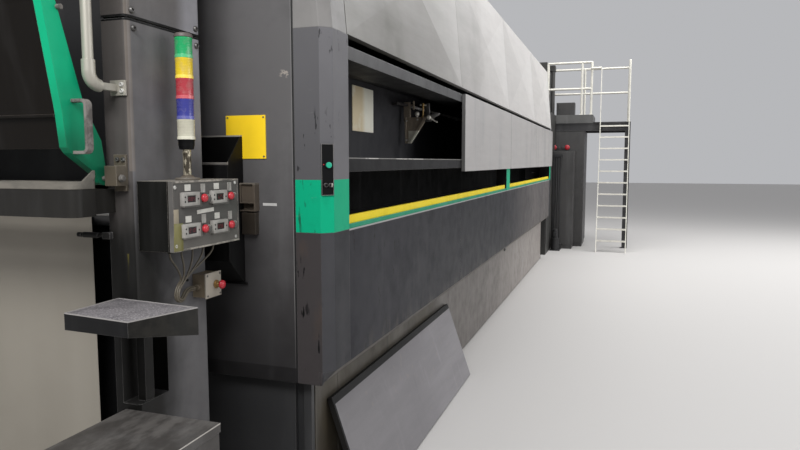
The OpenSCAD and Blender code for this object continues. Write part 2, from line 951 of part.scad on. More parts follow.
module roller(y, z, d, jd, l) {
    bar_x([-l / 2, y, z], d, l);
    bar_x([-column_x - bore_depth + 4, y, z], jd, tower_w + 2 * bore_depth - 8);
}

module nip_roller() {
    color("#b7b9ba") at_end() roller(nip_y, nip_z, nip_d, nip_d / 2, tower_w - 20);
}

module web_roller_upper() {
    color("#3d3e40") at_end() roller(web_y, web_top_z, roller_d, journal_d, tower_w - 60);
}

module web_roller_lower() {
    color("#77797b") at_end() roller(web_y, web_low_z, roller_d, journal_d, tower_w - 60);
}

// The web runs from under the lower roller, up, over the upper roller and into the housing
web_r = roller_d / 2 + 0.3;

module web_arc(z, low) {
    translate([web_y, z]) difference() {
        circle(r = web_r + web_t, $fn = 96);
        circle(r = web_r, $fn = 96);
        translate([-200, low ? 0 : -200]) square([400, 200]);
    }
}

module paper_web() {
    top = web_top_z + web_r;
    color("#b8b3a6") at_end() plate_yz(-web_w / 2, web_w) {
        translate([web_y - web_r - web_t, web_low_z]) square([web_t, web_top_z - web_low_z]);
        web_arc(web_low_z, true);
        intersection() {
            web_arc(web_top_z, false);
            translate([web_y - 200, web_top_z]) square([200, 200]);
        }
        translate([web_y, top]) square([-web_y + wall_t + 60, web_t]);
        translate([web_y + web_r, web_low_z]) square([web_t, 120]);
    }
}

// Control box on the aisle column

// Box with a lid that stands off on a narrower neck, and four rows of gauge and button
lid_t = 18;
lid_gap = 4;
lid_in = 6;
gauge_l = 96;
gauge_h = 48;
gauge_places = [-102, 60];
button_places = [-23, 137];
row_up = 52;
gland_d = 17;
gland_h = 15;
gland_first = 67;
gland_gap = 62;
gland_x = column_out + 66;
cable_n = 5;

module control_box() {
    body_d = box_d - lid_t - lid_gap;
    mid_y = box_y + box_l / 2;
    mid_z = box_z + box_h / 2;
    color("#2c2e31") at_end() {
        block([column_out, box_y, box_z], [body_d, box_l, box_h]);
        block([column_out + body_d, box_y + lid_in, box_z + lid_in],
              [lid_gap, box_l - 2 * lid_in, box_h - 2 * lid_in]);
        difference() {
            block([column_out + body_d + lid_gap, box_y, box_z], [lid_t, box_l, box_h]);
            block([column_out + box_d - 2, box_y + lid_in, box_z + lid_in],
                  [3, box_l - 2 * lid_in, box_h - 2 * lid_in]);
        }
        for (z = [mid_z - row_up, mid_z + row_up]) {
            for (y = gauge_places)
                difference() {
                    block([column_out + box_d - 2, mid_y + y - gauge_l / 2, z - gauge_h / 2], [14, gauge_l, gauge_h]);
                    block([column_out + box_d + 10, mid_y + y - gauge_l / 2 + 22, z - gauge_h / 2 + 10],
                          [3, gauge_l - 44, gauge_h - 20]);
                }
            for (y = button_places)
                translate([column_out + box_d - 2, mid_y + y, z]) rotate([0, 90, 0]) {
                    cylinder(d = 26, h = 8);
                    cylinder(d = 16, h = 14);
                    rotate_extrude() polygon([
                        [0, 14], [14, 14], [15, 17], [14, 22], [9, 25], [0, 26]
                    ]);
                }
        }
        for (i = [0:cable_n - 1])
            translate([gland_x, box_y + gland_first + i * gland_gap, box_z - gland_h]) {
                cylinder(d = gland_d - 4, h = gland_h);
                translate([0, 0, gland_h - 6]) cylinder(d = gland_d, h = 6, $fn = 6);
            }
    }
}

// Stack light: flange, pole, base, five lenses with a bead between them, and a cap
bead = 3;

module stack_light() {
    r = light_d / 2;
    foot_z = box_top + 14;
    lens_z = box_top + 139;
    color("#7f8a80") at_end() translate([light_x, light_y, 0]) rotate_extrude() polygon(concat(
        [[0, box_top], [42, box_top], [42, box_top + 6], [22, foot_z], [14, foot_z], [14, foot_z + 92],
         [r - 8, foot_z + 96], [r - 3, foot_z + 102], [r - 3, lens_z - 4], [r, lens_z]],
        [for (i = [0:4], k = [0:3]) [
            k == 0 || k == 3 ? r : r - 1.5,
            lens_z + i * lens_h + [bead, bead + 1.5, lens_h - bead - 1.5, lens_h - bead][k]
        ]],
        [[r + 1, lens_z + 5 * lens_h], [r + 1, lens_z + 5 * lens_h + 8],
         [r - 5, lens_z + 5 * lens_h + 15], [0, lens_z + 5 * lens_h + 18]]
    ));
}

junction_y = -tower_gap - 94;
junction_z = 1045;
junction_l = 95;
junction_h = 93;
junction_d = 60;

junction_gland = 12;

// Small box with an overhanging lid, a mushroom button and a gland for the cables
module junction_box() {
    color("#77736a") at_end() {
        block([column_out, junction_y + 3, junction_z + 3], [junction_d - 6, junction_l - 6, junction_h - 6]);
        block([column_out + junction_d - 6, junction_y, junction_z], [6, junction_l, junction_h]);
        translate([column_out + junction_d, junction_y + junction_l - 34, junction_z + junction_h / 2])
            rotate([0, 90, 0]) rotate_extrude() polygon([
                [0, 0], [15, 0], [15, 5], [9, 5], [9, 22], [13, 22], [16, 26], [14, 34], [8, 38], [0, 39]
            ]);
        bar_y([column_out + 26, junction_y + 3 - junction_gland, junction_z + junction_h / 2 - 3],
              20, junction_gland);
    }
}

// Cables hang from the box's glands, are tied together, and loop into the junction box.
// The knots of their common run are given from the junction box's near lower corner.
bundle_knots = [
    [54, -118, 92], [55, -141, 80], [55, -161, 55], [54, -158, 31], [52, -138, 20], [48, -116, 27],
    [43, -98, 42], [38, -76, 49], [31, -50, 47], [26, -26, 44]
];
strand_r = 0.92 * cable_d;

function unit(v) = v / norm(v);

// A round tube along a route that starts downwards and never runs along X
module tube_through(p, d, last = [0, 1, 0]) {
    n = 8;
    m = len(p);
    tangents = [
        for (i = [0:m - 1])
            i == 0 ? [0, 0, -1] : i == m - 1 ? last : unit(p[i + 1] - p[i - 1])
    ];
    rings = [
        for (i = [0:m - 1], k = [0:n - 1])
            let (b = unit(cross(tangents[i], [1, 0, 0])), a = cross(b, tangents[i]))
            p[i] + d / 2 * (a * cos(360 * k / n) + b * sin(360 * k / n))
    ];
    walls = [
        for (i = [0:m - 2], k = [0:n - 1])
            [i * n + k, i * n + (k + 1) % n, (i + 1) * n + (k + 1) % n, (i + 1) * n + k]
    ];
    polyhedron(rings, concat(
        [[for (k = [n - 1:-1:0]) k]], walls, [[for (k = [0:n - 1]) (m - 1) * n + k]]
    ));
}

// Each strand keeps its own place round the bundle's middle
function strand_route(i) =
    let (
        corner = [column_out, junction_y, junction_z],
        start = [gland_x, box_y + gland_first + i * gland_gap, box_z - gland_h],
        turn = 126 - 360 * i / cable_n,
        m = len(bundle_knots),
        side = [
            for (k = [0:m - 1])
                let (t = unit(bundle_knots[min(k + 1, m - 1)] - bundle_knots[max(k - 1, 0)]),
                     b = unit(cross(t, [1, 0, 0])))
                corner + bundle_knots[k] + strand_r * (cross(b, t) * cos(turn) + b * sin(turn))
        ],
        mid = (start + side[0]) / 2
    )
    concat([start, start - [0, 0, 18], [mid[0] + 8, mid[1] + (start[1] - mid[1]) * 0.25, mid[2] + 4]], side);

module control_cables() {
    color("#a59b86") at_end() for (i = [0:cable_n - 1])
        tube_through(strand_route(i), cable_d);
}

// Small shelf on the column's near face, wider at its root: a folded rim round a dished top,
// its ends deeper towards the column
shelf_top = 1100;
shelf_front_h = 47;
shelf_back_h = 88;
shelf_dish = 5;
shelf_rim = 5;
shelf_reach = 258;
shelf_out = 264;
shelf_in = 74;

module shelf_plan(inset) {
    offset(delta = -inset)
        translate([column_out, column_y]) polygon([
            [-shelf_in + 4, 30 - shelf_reach], [shelf_out - 73, -shelf_reach], [shelf_out, -34], [-shelf_in, 0]
        ]);
}

module side_shelf() {
    low = shelf_top - shelf_back_h;
    color("#2a2b2d") at_end() {
        difference() {
            translate([0, 0, low]) linear_extrude(shelf_back_h) shelf_plan(0);
            translate([0, 0, shelf_top - shelf_dish]) linear_extrude(shelf_dish + 1) shelf_plan(shelf_rim);
            translate([0, 0, low - 1]) linear_extrude(shelf_back_h + 1 - 2 * shelf_dish) shelf_plan(shelf_rim);
            plate_yz(column_out - 100, 400) polygon([
                [column_y - shelf_reach - 1, shelf_top - shelf_front_h], [column_y - 36, low],
                [column_y - 36, low - 1], [column_y - shelf_reach - 1, low - 1]
            ]);
        }
        block([column_out - shelf_in, column_y - 14, low], [shelf_in - column_round, 14, shelf_back_h - shelf_dish]);
    }
}

// Low step box: a folded top over a body that stands in from it
step_w = 370;
step_l = 700;
step_h = 720;
step_lip = 30;
step_toe = 40;
step_in = 60;

module step_box() {
    x = column_out - step_in;
    color("#3c3a37") at_end() {
        block([x, column_y - step_l, step_h - step_lip], [step_w, step_l, step_lip]);
        block([x + 6, column_y - step_l + 6, step_toe], [step_w - 12, step_l - 6, step_h - step_lip - step_toe]);
        block([x + 30, column_y - step_l + 50, 0], [step_w - 60, step_l - 60, step_toe]);
    }
}

// Next unit with its access platform

// Low body to the platform's height, with an upper housing set back on it
upper_in = 200;
upper_back = 250;
far_door_w = 440;
far_door_z = bed_h + 20;
far_door_drop = 460;
door_t = 6;
door_edge = 12;
post_d = 60;

module far_unit() {
    upper_y = deck_y + upper_back;
    color("#6a6e72") at_end() {
        block([-deck_x, far_y, 0], [2 * deck_x, far_l, deck_z]);
        block([upper_in - deck_x, upper_y, deck_z],
              [2 * (deck_x - upper_in), far_y + far_l - upper_y, far_h - deck_z]);
        both_sides() {
            for (y = [upper_y + 80, upper_y + 220])
                translate([deck_x - upper_in / 2, y, deck_z]) cylinder(d = post_d, h = far_h - deck_z - 60);
            block([deck_x - upper_in, upper_y + 40, far_h - 160], [upper_in - 60, 230, 100]);
            for (i = [0:1])
                block([deck_x, far_y + door_edge + i * far_door_w, far_door_z],
                      [door_t, far_door_w - 2 * door_edge, deck_z - far_door_drop]);
        }
        for (i = [0:3])
            block([door_edge - deck_x + i * deck_x / 2, far_y - door_t, far_door_z],
                  [deck_x / 2 - 2 * door_edge, door_t, deck_z - far_door_drop]);
    }
}

// Tall cabinet under the platform, one before it, and a low one on the platform
tall_w = 520;
front_w = 370;
front_l = 390;
front_h = 1740;
low_cab = [330, 260, 260];
low_cab_back = 430;
stop_drop = 300;
cabinet_plinth = 70;

module cabinet(at, size, plinth, handle_x) {
    block(at + [0, plinth == 0 ? 0 : 12, 0], [size[0] - (plinth == 0 ? 0 : 12), size[1] - 12, plinth + 1]);
    block(at + [0, 0, plinth], size - [0, 0, plinth]);
    block(at + [door_edge, -door_t, plinth + door_edge],
          [size[0] - 2 * door_edge, door_t, size[2] - plinth - 2 * door_edge]);
    block(at + [handle_x, -door_t - 14, size[2] * 0.55], [16, 14, 90]);
}

module far_cabinets() {
    under = deck_z - deck_t - beam_h;
    color("#7d8285") at_end() {
        cabinet([deck_x, deck_y + 10, 0], [tall_w, deck_l - 110, under], cabinet_plinth, tall_w - 50);
        cabinet([deck_x, deck_y - front_l - 10, 0], [front_w, front_l, front_h], cabinet_plinth, 40);
        cabinet([deck_x - 30, deck_y + low_cab_back, deck_z], low_cab, 0, 40);
        for (x = [60, 150])
            translate([deck_x + x, deck_y + 10, under - stop_drop]) rotate([90, 0, 0]) {
                cylinder(d = 70, h = 14);
                cylinder(d = 44, h = 40);
            }
    }
}

// Pump before the cabinets: tank, motor and a stand whose manifold its hoses hang from
pump_base = [170, 300, 15];
pump_gap = 40;
pump_d = 130;
tank_h = 190;
motor_h = 150;
stand_d = 30;
stand_h = 1640;
manifold_t = 44;
hose_d = 20;
hose_n = 3;
hose_pitch = 42;
union_h = 24;
pump_x = deck_x + 15;
pump_y = deck_y - front_l - 10 - pump_gap - pump_base[1];
pump_head_z = pump_base[2] + tank_h + 12;
clip_y = far_y + 2 * far_door_w - door_edge + 2;
clip_l = 18;
clip_h = 40;
union_z = pump_base[2] + tank_h / 2;
union_in = 46;
hose_first = [pump_x + 50, pump_y + pump_base[1] - stand_d / 2];

module far_pump() {
    tank = [pump_x + pump_base[0] / 2, pump_y + pump_d / 2 + 12];
    color("#2d2f31") at_end() {
        block([pump_x, pump_y, 0], pump_base);
        translate(tank) {
            translate([0, 0, pump_base[2]]) cylinder(d = pump_d, h = tank_h);
            translate([0, 0, pump_base[2] + tank_h]) cylinder(d = pump_d + 16, h = 12);
            translate([0, 0, pump_head_z]) cylinder(d = pump_d * 0.72, h = motor_h);
            translate([0, 0, pump_head_z + motor_h]) cylinder(d = pump_d * 0.5, h = 14);
        }
        block([tank[0] - 24, tank[1] - pump_d / 2 - 6, pump_head_z + 50], [48, 40, 60]);
        // Outlet block behind the tank takes the hoses' lower ends
        block([pump_x + 30, tank[1] + pump_d / 2 - 6, pump_base[2]],
              [pump_base[0] - 36, pump_base[1] - pump_d - 12, union_z - pump_base[2]]);
        block([pump_x, pump_y + pump_base[1] - stand_d, pump_base[2]], [stand_d, stand_d, stand_h - pump_base[2]]);
        block([pump_x, pump_y + pump_base[1] - stand_d - 7, stand_h], [pump_base[0], manifold_t, manifold_t]);
        // The stand is clipped to the unit's side, clear of its doors
        block([deck_x, clip_y, stand_h - 3 * clip_h], [pump_x - deck_x + stand_d, clip_l, clip_h]);
        block([pump_x, pump_y + pump_base[1] - 1, stand_h - 3 * clip_h],
              [stand_d, clip_y - pump_y - pump_base[1] + 2, clip_h]);
        for (i = [0:hose_n - 1]) {
            x = hose_first[0] + i * hose_pitch;
            translate([x, hose_first[1], stand_h - union_h]) cylinder(d = hose_d + 8, h = union_h, $fn = 6);
            translate([x, hose_first[1] - union_in, union_z]) cylinder(d = hose_d + 8, h = union_h, $fn = 6);
        }
    }
}

// The hoses hang from the manifold's unions down to those of the outlet block, each with its own sway
function hose_route(i) =
    let (
        x = hose_first[0] + i * hose_pitch,
        top_z = stand_h - union_h,
        drop = top_z - union_z - union_h,
        sway = 26 - 18 * i
    )
    [for (k = [0:12])
        let (t = k / 12, swing = pow(sin(180 * t), 2))
        [x + sway * swing * sin(270 * t),
         hose_first[1] - union_in * (1 - cos(180 * t)) / 2 - sway * swing / 2,
         top_z - drop * t]];

module pump_hoses() {
    color("#1c1d1f") at_end() for (i = [0:hose_n - 1])
        tube_through(hose_route(i), hose_d, [0, 0, -1]);
}

// A raised deck beside the unit and a lower landing at the ladder, on two beams and two legs
raised_w = 655;
landing_t = 10;
leg = 90;
landing_z = deck_z - deck_t + landing_t;

module platform() {
    under = deck_z - deck_t - beam_h;
    color("#4f5457") at_end() {
        block([deck_x, deck_y, deck_z - deck_t], [raised_w, deck_l, deck_t]);
        block([deck_x + raised_w, deck_y, deck_z - deck_t], [deck_w - raised_w, deck_l, landing_t]);
        for (y = [deck_y, deck_y + deck_l - leg])
            difference() {
                block([deck_x, y, under], [deck_w, leg, beam_h]);
                block([deck_x - 1, y + (y == deck_y ? -1 : leg - 24), under + 14], [deck_w + 2, 25, beam_h - 28]);
            }
        for (y = [deck_y, deck_y + deck_l - leg]) {
            block([deck_out - leg, y, 0], [leg, leg, under]);
            block([deck_out - leg - 30, y, 0], [leg + 30, leg, 12]);
        }
        block([deck_out - leg, deck_y + leg, under], [leg, deck_l - 2 * leg, beam_h]);
    }
}

// Rails of tube on base plates: along the front to the ladder, round the landing and along the back
rail_in = 30;
rail_start = deck_x - 150;
rail_mid = 450;
foot_plate = 70;

module rail_post(x, y, z) {
    translate([x, y, z]) cylinder(d = tube_d, h = deck_z + rail_h - z);
    translate([x - foot_plate / 2, y - foot_plate / 2 + 6, z]) cube([foot_plate, foot_plate - 12, 8]);
}

module handrails() {
    front = deck_y + rail_in + 6;
    back = deck_y + deck_l - rail_in - 6;
    side = deck_out - rail_in - 8;
    edge = deck_x + raised_w - rail_in - 8;
    link_z = deck_z + rail_h - 115;
    color("#c2c5c6") at_end() {
        for (x = [rail_start, deck_x + rail_mid, edge])
            rail_post(x, front, deck_z);
        for (x = [rail_start, deck_x + rail_mid])
            rail_post(x, back, deck_z);
        for (y = [front, back])
            rail_post(side, y, landing_z);
        for (z = [deck_z + rail_h / 2, deck_z + rail_h]) {
            bar_x([rail_start, front, z], tube_d, edge - rail_start);
            bar_x([rail_start, back, z], tube_d, side - rail_start);
            bar_y([side, front, z], tube_d, back - front);
            for (p = [[rail_start, front], [edge, front], [rail_start, back], [side, front], [side, back]])
                translate([p[0], p[1], z]) sphere(d = tube_d);
        }
        bar_y([edge, deck_y - stringer_d / 2, link_z], tube_d, front - deck_y + stringer_d / 2);
        translate([edge, deck_y - stringer_d / 2, link_z]) sphere(d = tube_d);
        bar_x([edge, deck_y - stringer_d / 2, link_z], tube_d, ladder_x - edge);
    }
}

// Height of the ladder's handholds over the deck
handhold_h = rail_h - 130;
stringer_t = 14;
stringer_d = 50;
stringer_top = 160;
stringer_low = 100;
tread_d = 66;
tread_t = 24;

module ladder_sides() {
    foot = deck_y - ladder_run;
    color("#b9bcbe") at_end() for (x = [ladder_x, ladder_x + ladder_w - stringer_t])
        plate_yz(x, stringer_t) polygon([
            [foot, 0], [foot + 80, 0], [deck_y, deck_z - stringer_top], [deck_y, deck_z + handhold_h],
            [deck_y - stringer_d, deck_z + handhold_h], [deck_y - stringer_d, deck_z - stringer_low]
        ]);
}

// A tread is a folded channel with a turned-down nose
module ladder_treads() {
    rise = deck_z / (treads + 1);
    slope = (ladder_run - stringer_d) / (deck_z - stringer_low);
    color("#b9bcbe") at_end() for (i = [1:treads])
        translate([ladder_x + stringer_t, deck_y - ladder_run + i * rise * slope, i * rise - tread_t])
            difference() {
                cube([ladder_w - 2 * stringer_t, tread_d, tread_t]);
                translate([-1, 4, -1]) cube([ladder_w, tread_d - 8, tread_t - 3]);
            }
}

base_plinth();
base_panels();
base_ends();
bed_rails();
body_floor();
under_lips();
lower_panels();
lower_corners();
corner_posts();
bay_posts();
sill_strips();
sill_bars();
sill_decks();
shelf_beams();
header_beams();
inner_walls();
gap_plate();
end_walls();
canopy_ribs();
canopy_panels();
canopy_corners();
roof_panels();
cover_panels();
leaning_cover();
clamp_rail();
clamp_bracket();
sign_plates();
tool_bin();
latch_blocks();
post_controls();
columns_lower();
columns_upper();
tower_back();
tower_top();
grab_rails();
guard_arms();
guard_hood();
guard_brackets();
drip_tray();
nip_roller();
web_roller_upper();
web_roller_lower();
paper_web();
control_box();
stack_light();
junction_box();
control_cables();
side_shelf();
step_box();
far_unit();
far_cabinets();
far_pump();
pump_hoses();
platform();
handrails();
ladder_sides();
ladder_treads();
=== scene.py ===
import math

import bpy
from mathutils import Matrix, Vector


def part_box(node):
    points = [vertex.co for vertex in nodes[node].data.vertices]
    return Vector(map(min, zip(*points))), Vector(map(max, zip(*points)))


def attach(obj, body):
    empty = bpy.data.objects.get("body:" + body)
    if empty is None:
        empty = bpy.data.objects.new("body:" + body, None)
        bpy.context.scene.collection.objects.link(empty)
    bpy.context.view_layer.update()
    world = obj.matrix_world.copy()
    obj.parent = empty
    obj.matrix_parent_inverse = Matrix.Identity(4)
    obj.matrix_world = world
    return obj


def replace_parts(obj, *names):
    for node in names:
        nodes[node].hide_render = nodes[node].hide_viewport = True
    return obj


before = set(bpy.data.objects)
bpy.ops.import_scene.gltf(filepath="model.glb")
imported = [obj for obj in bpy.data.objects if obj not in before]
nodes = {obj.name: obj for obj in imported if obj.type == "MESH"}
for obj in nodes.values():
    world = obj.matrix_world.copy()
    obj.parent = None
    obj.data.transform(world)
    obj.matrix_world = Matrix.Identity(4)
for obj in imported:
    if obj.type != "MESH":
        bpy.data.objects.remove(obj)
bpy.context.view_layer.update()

# Where things are, read off the frame
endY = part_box("end_walls")[0].y  # outer face of the near end wall
boxLow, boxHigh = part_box("control_box")
lightLow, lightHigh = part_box("stack_light")
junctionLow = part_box("junction_box")[0]
shelfLow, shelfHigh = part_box("side_shelf")
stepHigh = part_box("step_box")[1]
columnFace = boxLow.x  # aisle face of the tower's column


# A place counted along the press from the near end wall
def at(x, y, z):
    return Vector((x, endY + y, z))


# Camera at the photograph's place: a standing person's eye, just off the aisle
cameraSetup = {
    "place": (2.324, -2.31, 1.55),  # from the near end of the housing's centreline
    "right": (0.9468, 0.3217, 0.0),
    "forward": (-0.3204, 0.942, -0.0964),
    "lens": 29.25,
    "sensor": 36,
    "sight": 200,
}


def addCamera():
    data = bpy.data.cameras.new("eye")
    camera = bpy.data.objects.new("eye", data)
    bpy.context.collection.objects.link(camera)
    data.lens = cameraSetup["lens"]
    data.sensor_width = cameraSetup["sensor"]
    data.clip_end = cameraSetup["sight"]
    right = Vector(cameraSetup["right"]).normalized()
    back = -Vector(cameraSetup["forward"]).normalized()
    up = back.cross(right)
    turn = Matrix((right, up, back)).transposed().to_4x4()
    camera.matrix_world = Matrix.Translation(at(*cameraSetup["place"])) @ turn
    bpy.context.scene.camera = camera


# Shader maths as plain expressions
class Signal:
    def __init__(self, paint, socket):
        self.paint = paint
        self.socket = socket

    def maths(self, operation, *values):
        return self.paint.node("ShaderNodeMath", {"operation": operation}, list(values))

    def __add__(self, other):
        return self.maths("ADD", self, other)

    def __sub__(self, other):
        return self.maths("SUBTRACT", self, other)

    def __mul__(self, other):
        return self.maths("MULTIPLY", self, other)

    def __rsub__(self, other):
        return self.maths("SUBTRACT", other, self)

    def __gt__(self, other):
        return self.maths("GREATER_THAN", self, other)

    def __lt__(self, other):
        return self.maths("LESS_THAN", self, other)

    def size(self):
        return self.maths("ABSOLUTE", self)

    __radd__ = __add__


class Paint:
    def __init__(self, name):
        self.material = bpy.data.materials.new(name)
        self.material.use_nodes = True
        self.tree = self.material.node_tree
        self.tree.nodes.clear()
        self.end = self.tree.nodes.new("ShaderNodeOutputMaterial")
        self.place = self.node("ShaderNodeTexCoord", out="Object")
        self.x, self.y, self.z = self.split(self.place)
        self.faceX, self.faceY, self.faceZ = self.split(self.node("ShaderNodeNewGeometry", out="True Normal"))
        self.soft = None

    def node(self, kind, settings=None, inputs=(), out=0):
        made = self.tree.nodes.new(kind)
        for key, value in (settings or {}).items():
            setattr(made, key, value)
        pairs = inputs.items() if isinstance(inputs, dict) else enumerate(inputs)
        for key, value in pairs:
            if isinstance(value, Signal):
                self.tree.links.new(value.socket, made.inputs[key])
            else:
                made.inputs[key].default_value = value
        return made if out is None else Signal(self, made.outputs[out])

    def split(self, vector):
        made = self.node("ShaderNodeSeparateXYZ", {}, [vector], out=None)
        return [Signal(self, o) for o in made.outputs]

    def noise(self, scale, detail, rough=0.55, stretch=None):
        source = self.place
        if stretch:
            source = self.node("ShaderNodeMapping", {}, {"Vector": source, "Scale": stretch})
        return self.node("ShaderNodeTexNoise", {}, {
            "Vector": source, "Scale": scale, "Detail": detail, "Roughness": rough,
        })

    def mask(self, signal, low, high):
        return self.node("ShaderNodeMapRange", {"interpolation_type": "SMOOTHSTEP"}, {
            "Value": signal, "From Min": low, "From Max": high,
        })

    # Where a noise rises from low to high
    def patches(self, low, high, *noise):
        return self.mask(self.noise(*noise), low, high)

    # Rises along the press, counted from the near end wall
    def along(self, low, high):
        return self.mask(self.y, endY + low, endY + high)

    def between(self, signal, low, high):
        return (signal > low) * (signal < high)

    def mix(self, amount, first, second):
        made = self.node("ShaderNodeMix", {"data_type": "RGBA"}, out=None)
        for socket, value in ((made.inputs[0], amount), (made.inputs[6], first), (made.inputs[7], second)):
            if isinstance(value, Signal):
                self.tree.links.new(value.socket, socket)
            elif isinstance(value, (int, float)):
                socket.default_value = value
            else:
                socket.default_value = (*value, 1)
        return Signal(self, made.outputs[2])

    # Rounds the edges that a bump is laid over, and tells where they are
    def soften(self, radius):
        self.soft = self.node("ShaderNodeBevel", {"samples": 4}, {"Radius": radius})
        hard = self.node("ShaderNodeNewGeometry", out="Normal")
        match = {"operation": "DOT_PRODUCT"}
        return 1 - self.node("ShaderNodeVectorMath", match, [self.soft, hard], out="Value")

    def bump(self, height, strength, distance):
        links = {"Height": height, "Strength": strength, "Distance": distance}
        if self.soft:
            links["Normal"] = self.soft
        return self.node("ShaderNodeBump", {}, links)

    def surface(self, colour, rough, metal=0.0, normal=None, **extra):
        links = {"Base Color": colour, "Roughness": rough, "Metallic": metal}
        if normal:
            links["Normal"] = normal
        for key, value in extra.items():
            links[key.replace("_", " ")] = value
        shader = self.node("ShaderNodeBsdfPrincipled", {}, links)
        self.tree.links.new(shader.socket, self.end.inputs["Surface"])
        return self.material


# Sparse runs of ink, longer than wide
def inkRuns(paint, low, high, scale=34):
    runs = paint.patches(0.625, 0.65, scale, 3, 0.6, (1, 1, 0.26))
    return runs * paint.patches(0.5, 0.58, 4.2, 2) * paint.between(paint.z, low, high)


def darker(colour, share):
    return [c * share for c in colour]


def lighter(colour, share, lift):
    return [min(1, c * share + lift) for c in colour]


# tones gives a list of (where, colour): a mask over the surface, and the colour it takes there
def toned(paint, base, tones):
    for where, tone in (tones(paint) if tones else []):
        base = paint.mix(where, base, tone)
    return base


# Sprayed sheet steel of a machine that has worked for years
def machinePaint(name, colour, rough, wear, grime, streak, tones=None, shine=0.5, chip=(0.30, 0.29, 0.28),
                 radius=0.004):
    paint = Paint(name)
    edge = paint.soften(radius)
    cloud = paint.noise(1.7, 4)
    patch = paint.noise(9, 5, 0.6)
    speck = paint.noise(140, 3, 0.7)
    dirt = paint.mask(cloud * 0.5 + patch * 0.5, 0.42, 0.72) * grime
    wiped = paint.patches(0.5, 0.75, 6, 4, 0.6, (1, 1, 0.12)) * streak
    shade = toned(paint, colour, tones)
    base = paint.mix(dirt, shade, paint.mix(0.55, shade, (0.004, 0.004, 0.004)))
    base = paint.mix(wiped * 0.6, base, paint.mix(0.16, shade, (1, 1, 1)))
    base = paint.mix(paint.mask(edge * 2.2 + patch * 0.5, 0.62, 0.85) * wear, base, chip)
    gloss = rough + patch * 0.14 + dirt * 0.25 - wiped * 0.12
    bump = paint.bump(speck + patch * 0.6, 0.12, 0.0012)
    return paint.surface(base, gloss, 0.0, bump, Specular_IOR_Level=shine)


# Pale sheet with wiped streaks that catch the light
def silverSheet(name, colour, rough, metal, contrast, tones, spots=0.0, drips=0.35, shine=0.5):
    paint = Paint(name)
    paint.soften(0.003)
    wipes = paint.noise(3.2, 5, 0.62, (1, 0.35, 2.6))
    runs = paint.noise(11, 4, 0.6, (1, 1.6, 0.1))
    fine = paint.noise(60, 4, 0.7, (1, 0.12, 1))
    tone = paint.mask(wipes * 0.45 + paint.noise(0.9, 3) * 0.55, 0.35, 0.68)
    base = paint.mix(tone * contrast, colour, darker(colour, 0.62))
    base = paint.mix(paint.mask(runs, 0.56, 0.8) * drips, base, lighter(colour, 1.2, 0))
    base = paint.mix(paint.mask(1 - runs, 0.6, 0.8) * drips * 0.7, base, darker(colour, 0.6))
    if spots:
        base = paint.mix(paint.patches(0.62, 0.75, 26, 2) * spots, base, (0.34, 0.29, 0.24))
    base = toned(paint, base, tones)
    gloss = rough + tone * 0.16 + fine * 0.08
    bump = paint.bump(wipes + fine * 0.3, 0.08, 0.002)
    return paint.surface(base, gloss, metal, bump, Specular_IOR_Level=shine)


# Bare steel polished by hands, with darker stains
def bareSteel(name, colour, rough, along=(1, 1, 1), stain=0.6, metal=0.9, tones=None):
    paint = Paint(name)
    paint.soften(0.002)
    stains = paint.noise(14, 5, 0.65, along)
    grain = paint.noise(180, 3, 0.7, along)
    base = paint.mix(paint.mask(stains, 0.45, 0.75) * stain, colour, darker(colour, 0.45))
    base = toned(paint, base, tones)
    return paint.surface(base, rough + stains * 0.22, metal, paint.bump(grain, 0.1, 0.0006))


def plainPlastic(name, colour, rough, mottle=0.25, scale=40, coat=0.0, glow=0.0, shine=0.5):
    paint = Paint(name)
    grain = paint.noise(scale * 6, 3, 0.6)
    cloud = paint.noise(scale, 4)
    base = paint.mix(paint.mask(cloud, 0.4, 0.75) * mottle, colour, darker(colour, 0.6))
    extra = {"Coat_Weight": coat, "Coat_Roughness": 0.15, "Specular_IOR_Level": shine}
    if glow:
        extra.update({"Emission_Color": base, "Emission_Strength": glow})
    return paint.surface(base, rough + cloud * 0.12, 0.0, paint.bump(grain, 0.1, 0.0004), **extra)


# The corner posts and the middle post carry a green band between sill and shelf. Faces turned away from the
# aisle are painted darker as painted shade, and faces looking back towards the near end, past a given point
# along the press and below the band's top, are painted near black as painted shade; all but the aisle faces
# are also darker low down
def bandedPaint(name, colour, high, front, shadeFrom):
    band = (0.001, 0.36, 0.185)
    paint = Paint(name)
    edge = paint.soften(0.004)
    patch = paint.noise(16, 4, 0.6)
    scratch = paint.patches(0.64, 0.7, 7, 5, 0.7, (1, 1, 7))
    # Painted shade: faces turned away from the aisle are darker
    base = paint.mix(paint.faceX.size() < 0.5, colour, darker(colour, front))
    # All but the aisle faces are darker low down
    lowDarker = (1 - paint.mask(paint.z, 1.5, 2.1)) * (1 - (paint.faceX.size() > 0.9))
    base = paint.mix(lowDarker * 0.5, base, darker(colour, front * 0.6))
    base = paint.mix(paint.patches(0.4, 0.75, 2.4, 4) * 0.35, base, darker(colour, 0.6))
    green = paint.mix(paint.mask(patch, 0.5, 0.8) * 0.3, band, darker(band, 0.6))
    base = paint.mix(paint.between(paint.z, 1.27, high), base, green)
    # Painted shade: faces looking back towards the near end are near black
    shadedFaces = (paint.faceY < -0.9) * (paint.y > shadeFrom) * (paint.z < high)
    base = paint.mix(shadedFaces, base, (0.006, 0.0055, 0.005))
    base = paint.mix(inkRuns(paint, 1.2, 2.6, 40) * 0.75, base, darker(colour, 0.08))
    base = paint.mix(scratch * 0.12 + paint.mask(edge, 0.1, 0.5) * 0.25, base, (0.42, 0.41, 0.4))
    bump = paint.bump(patch, 0.1, 0.001)
    return paint.surface(base, 0.42 + patch * 0.16, 0.0, bump, Specular_IOR_Level=0.15)
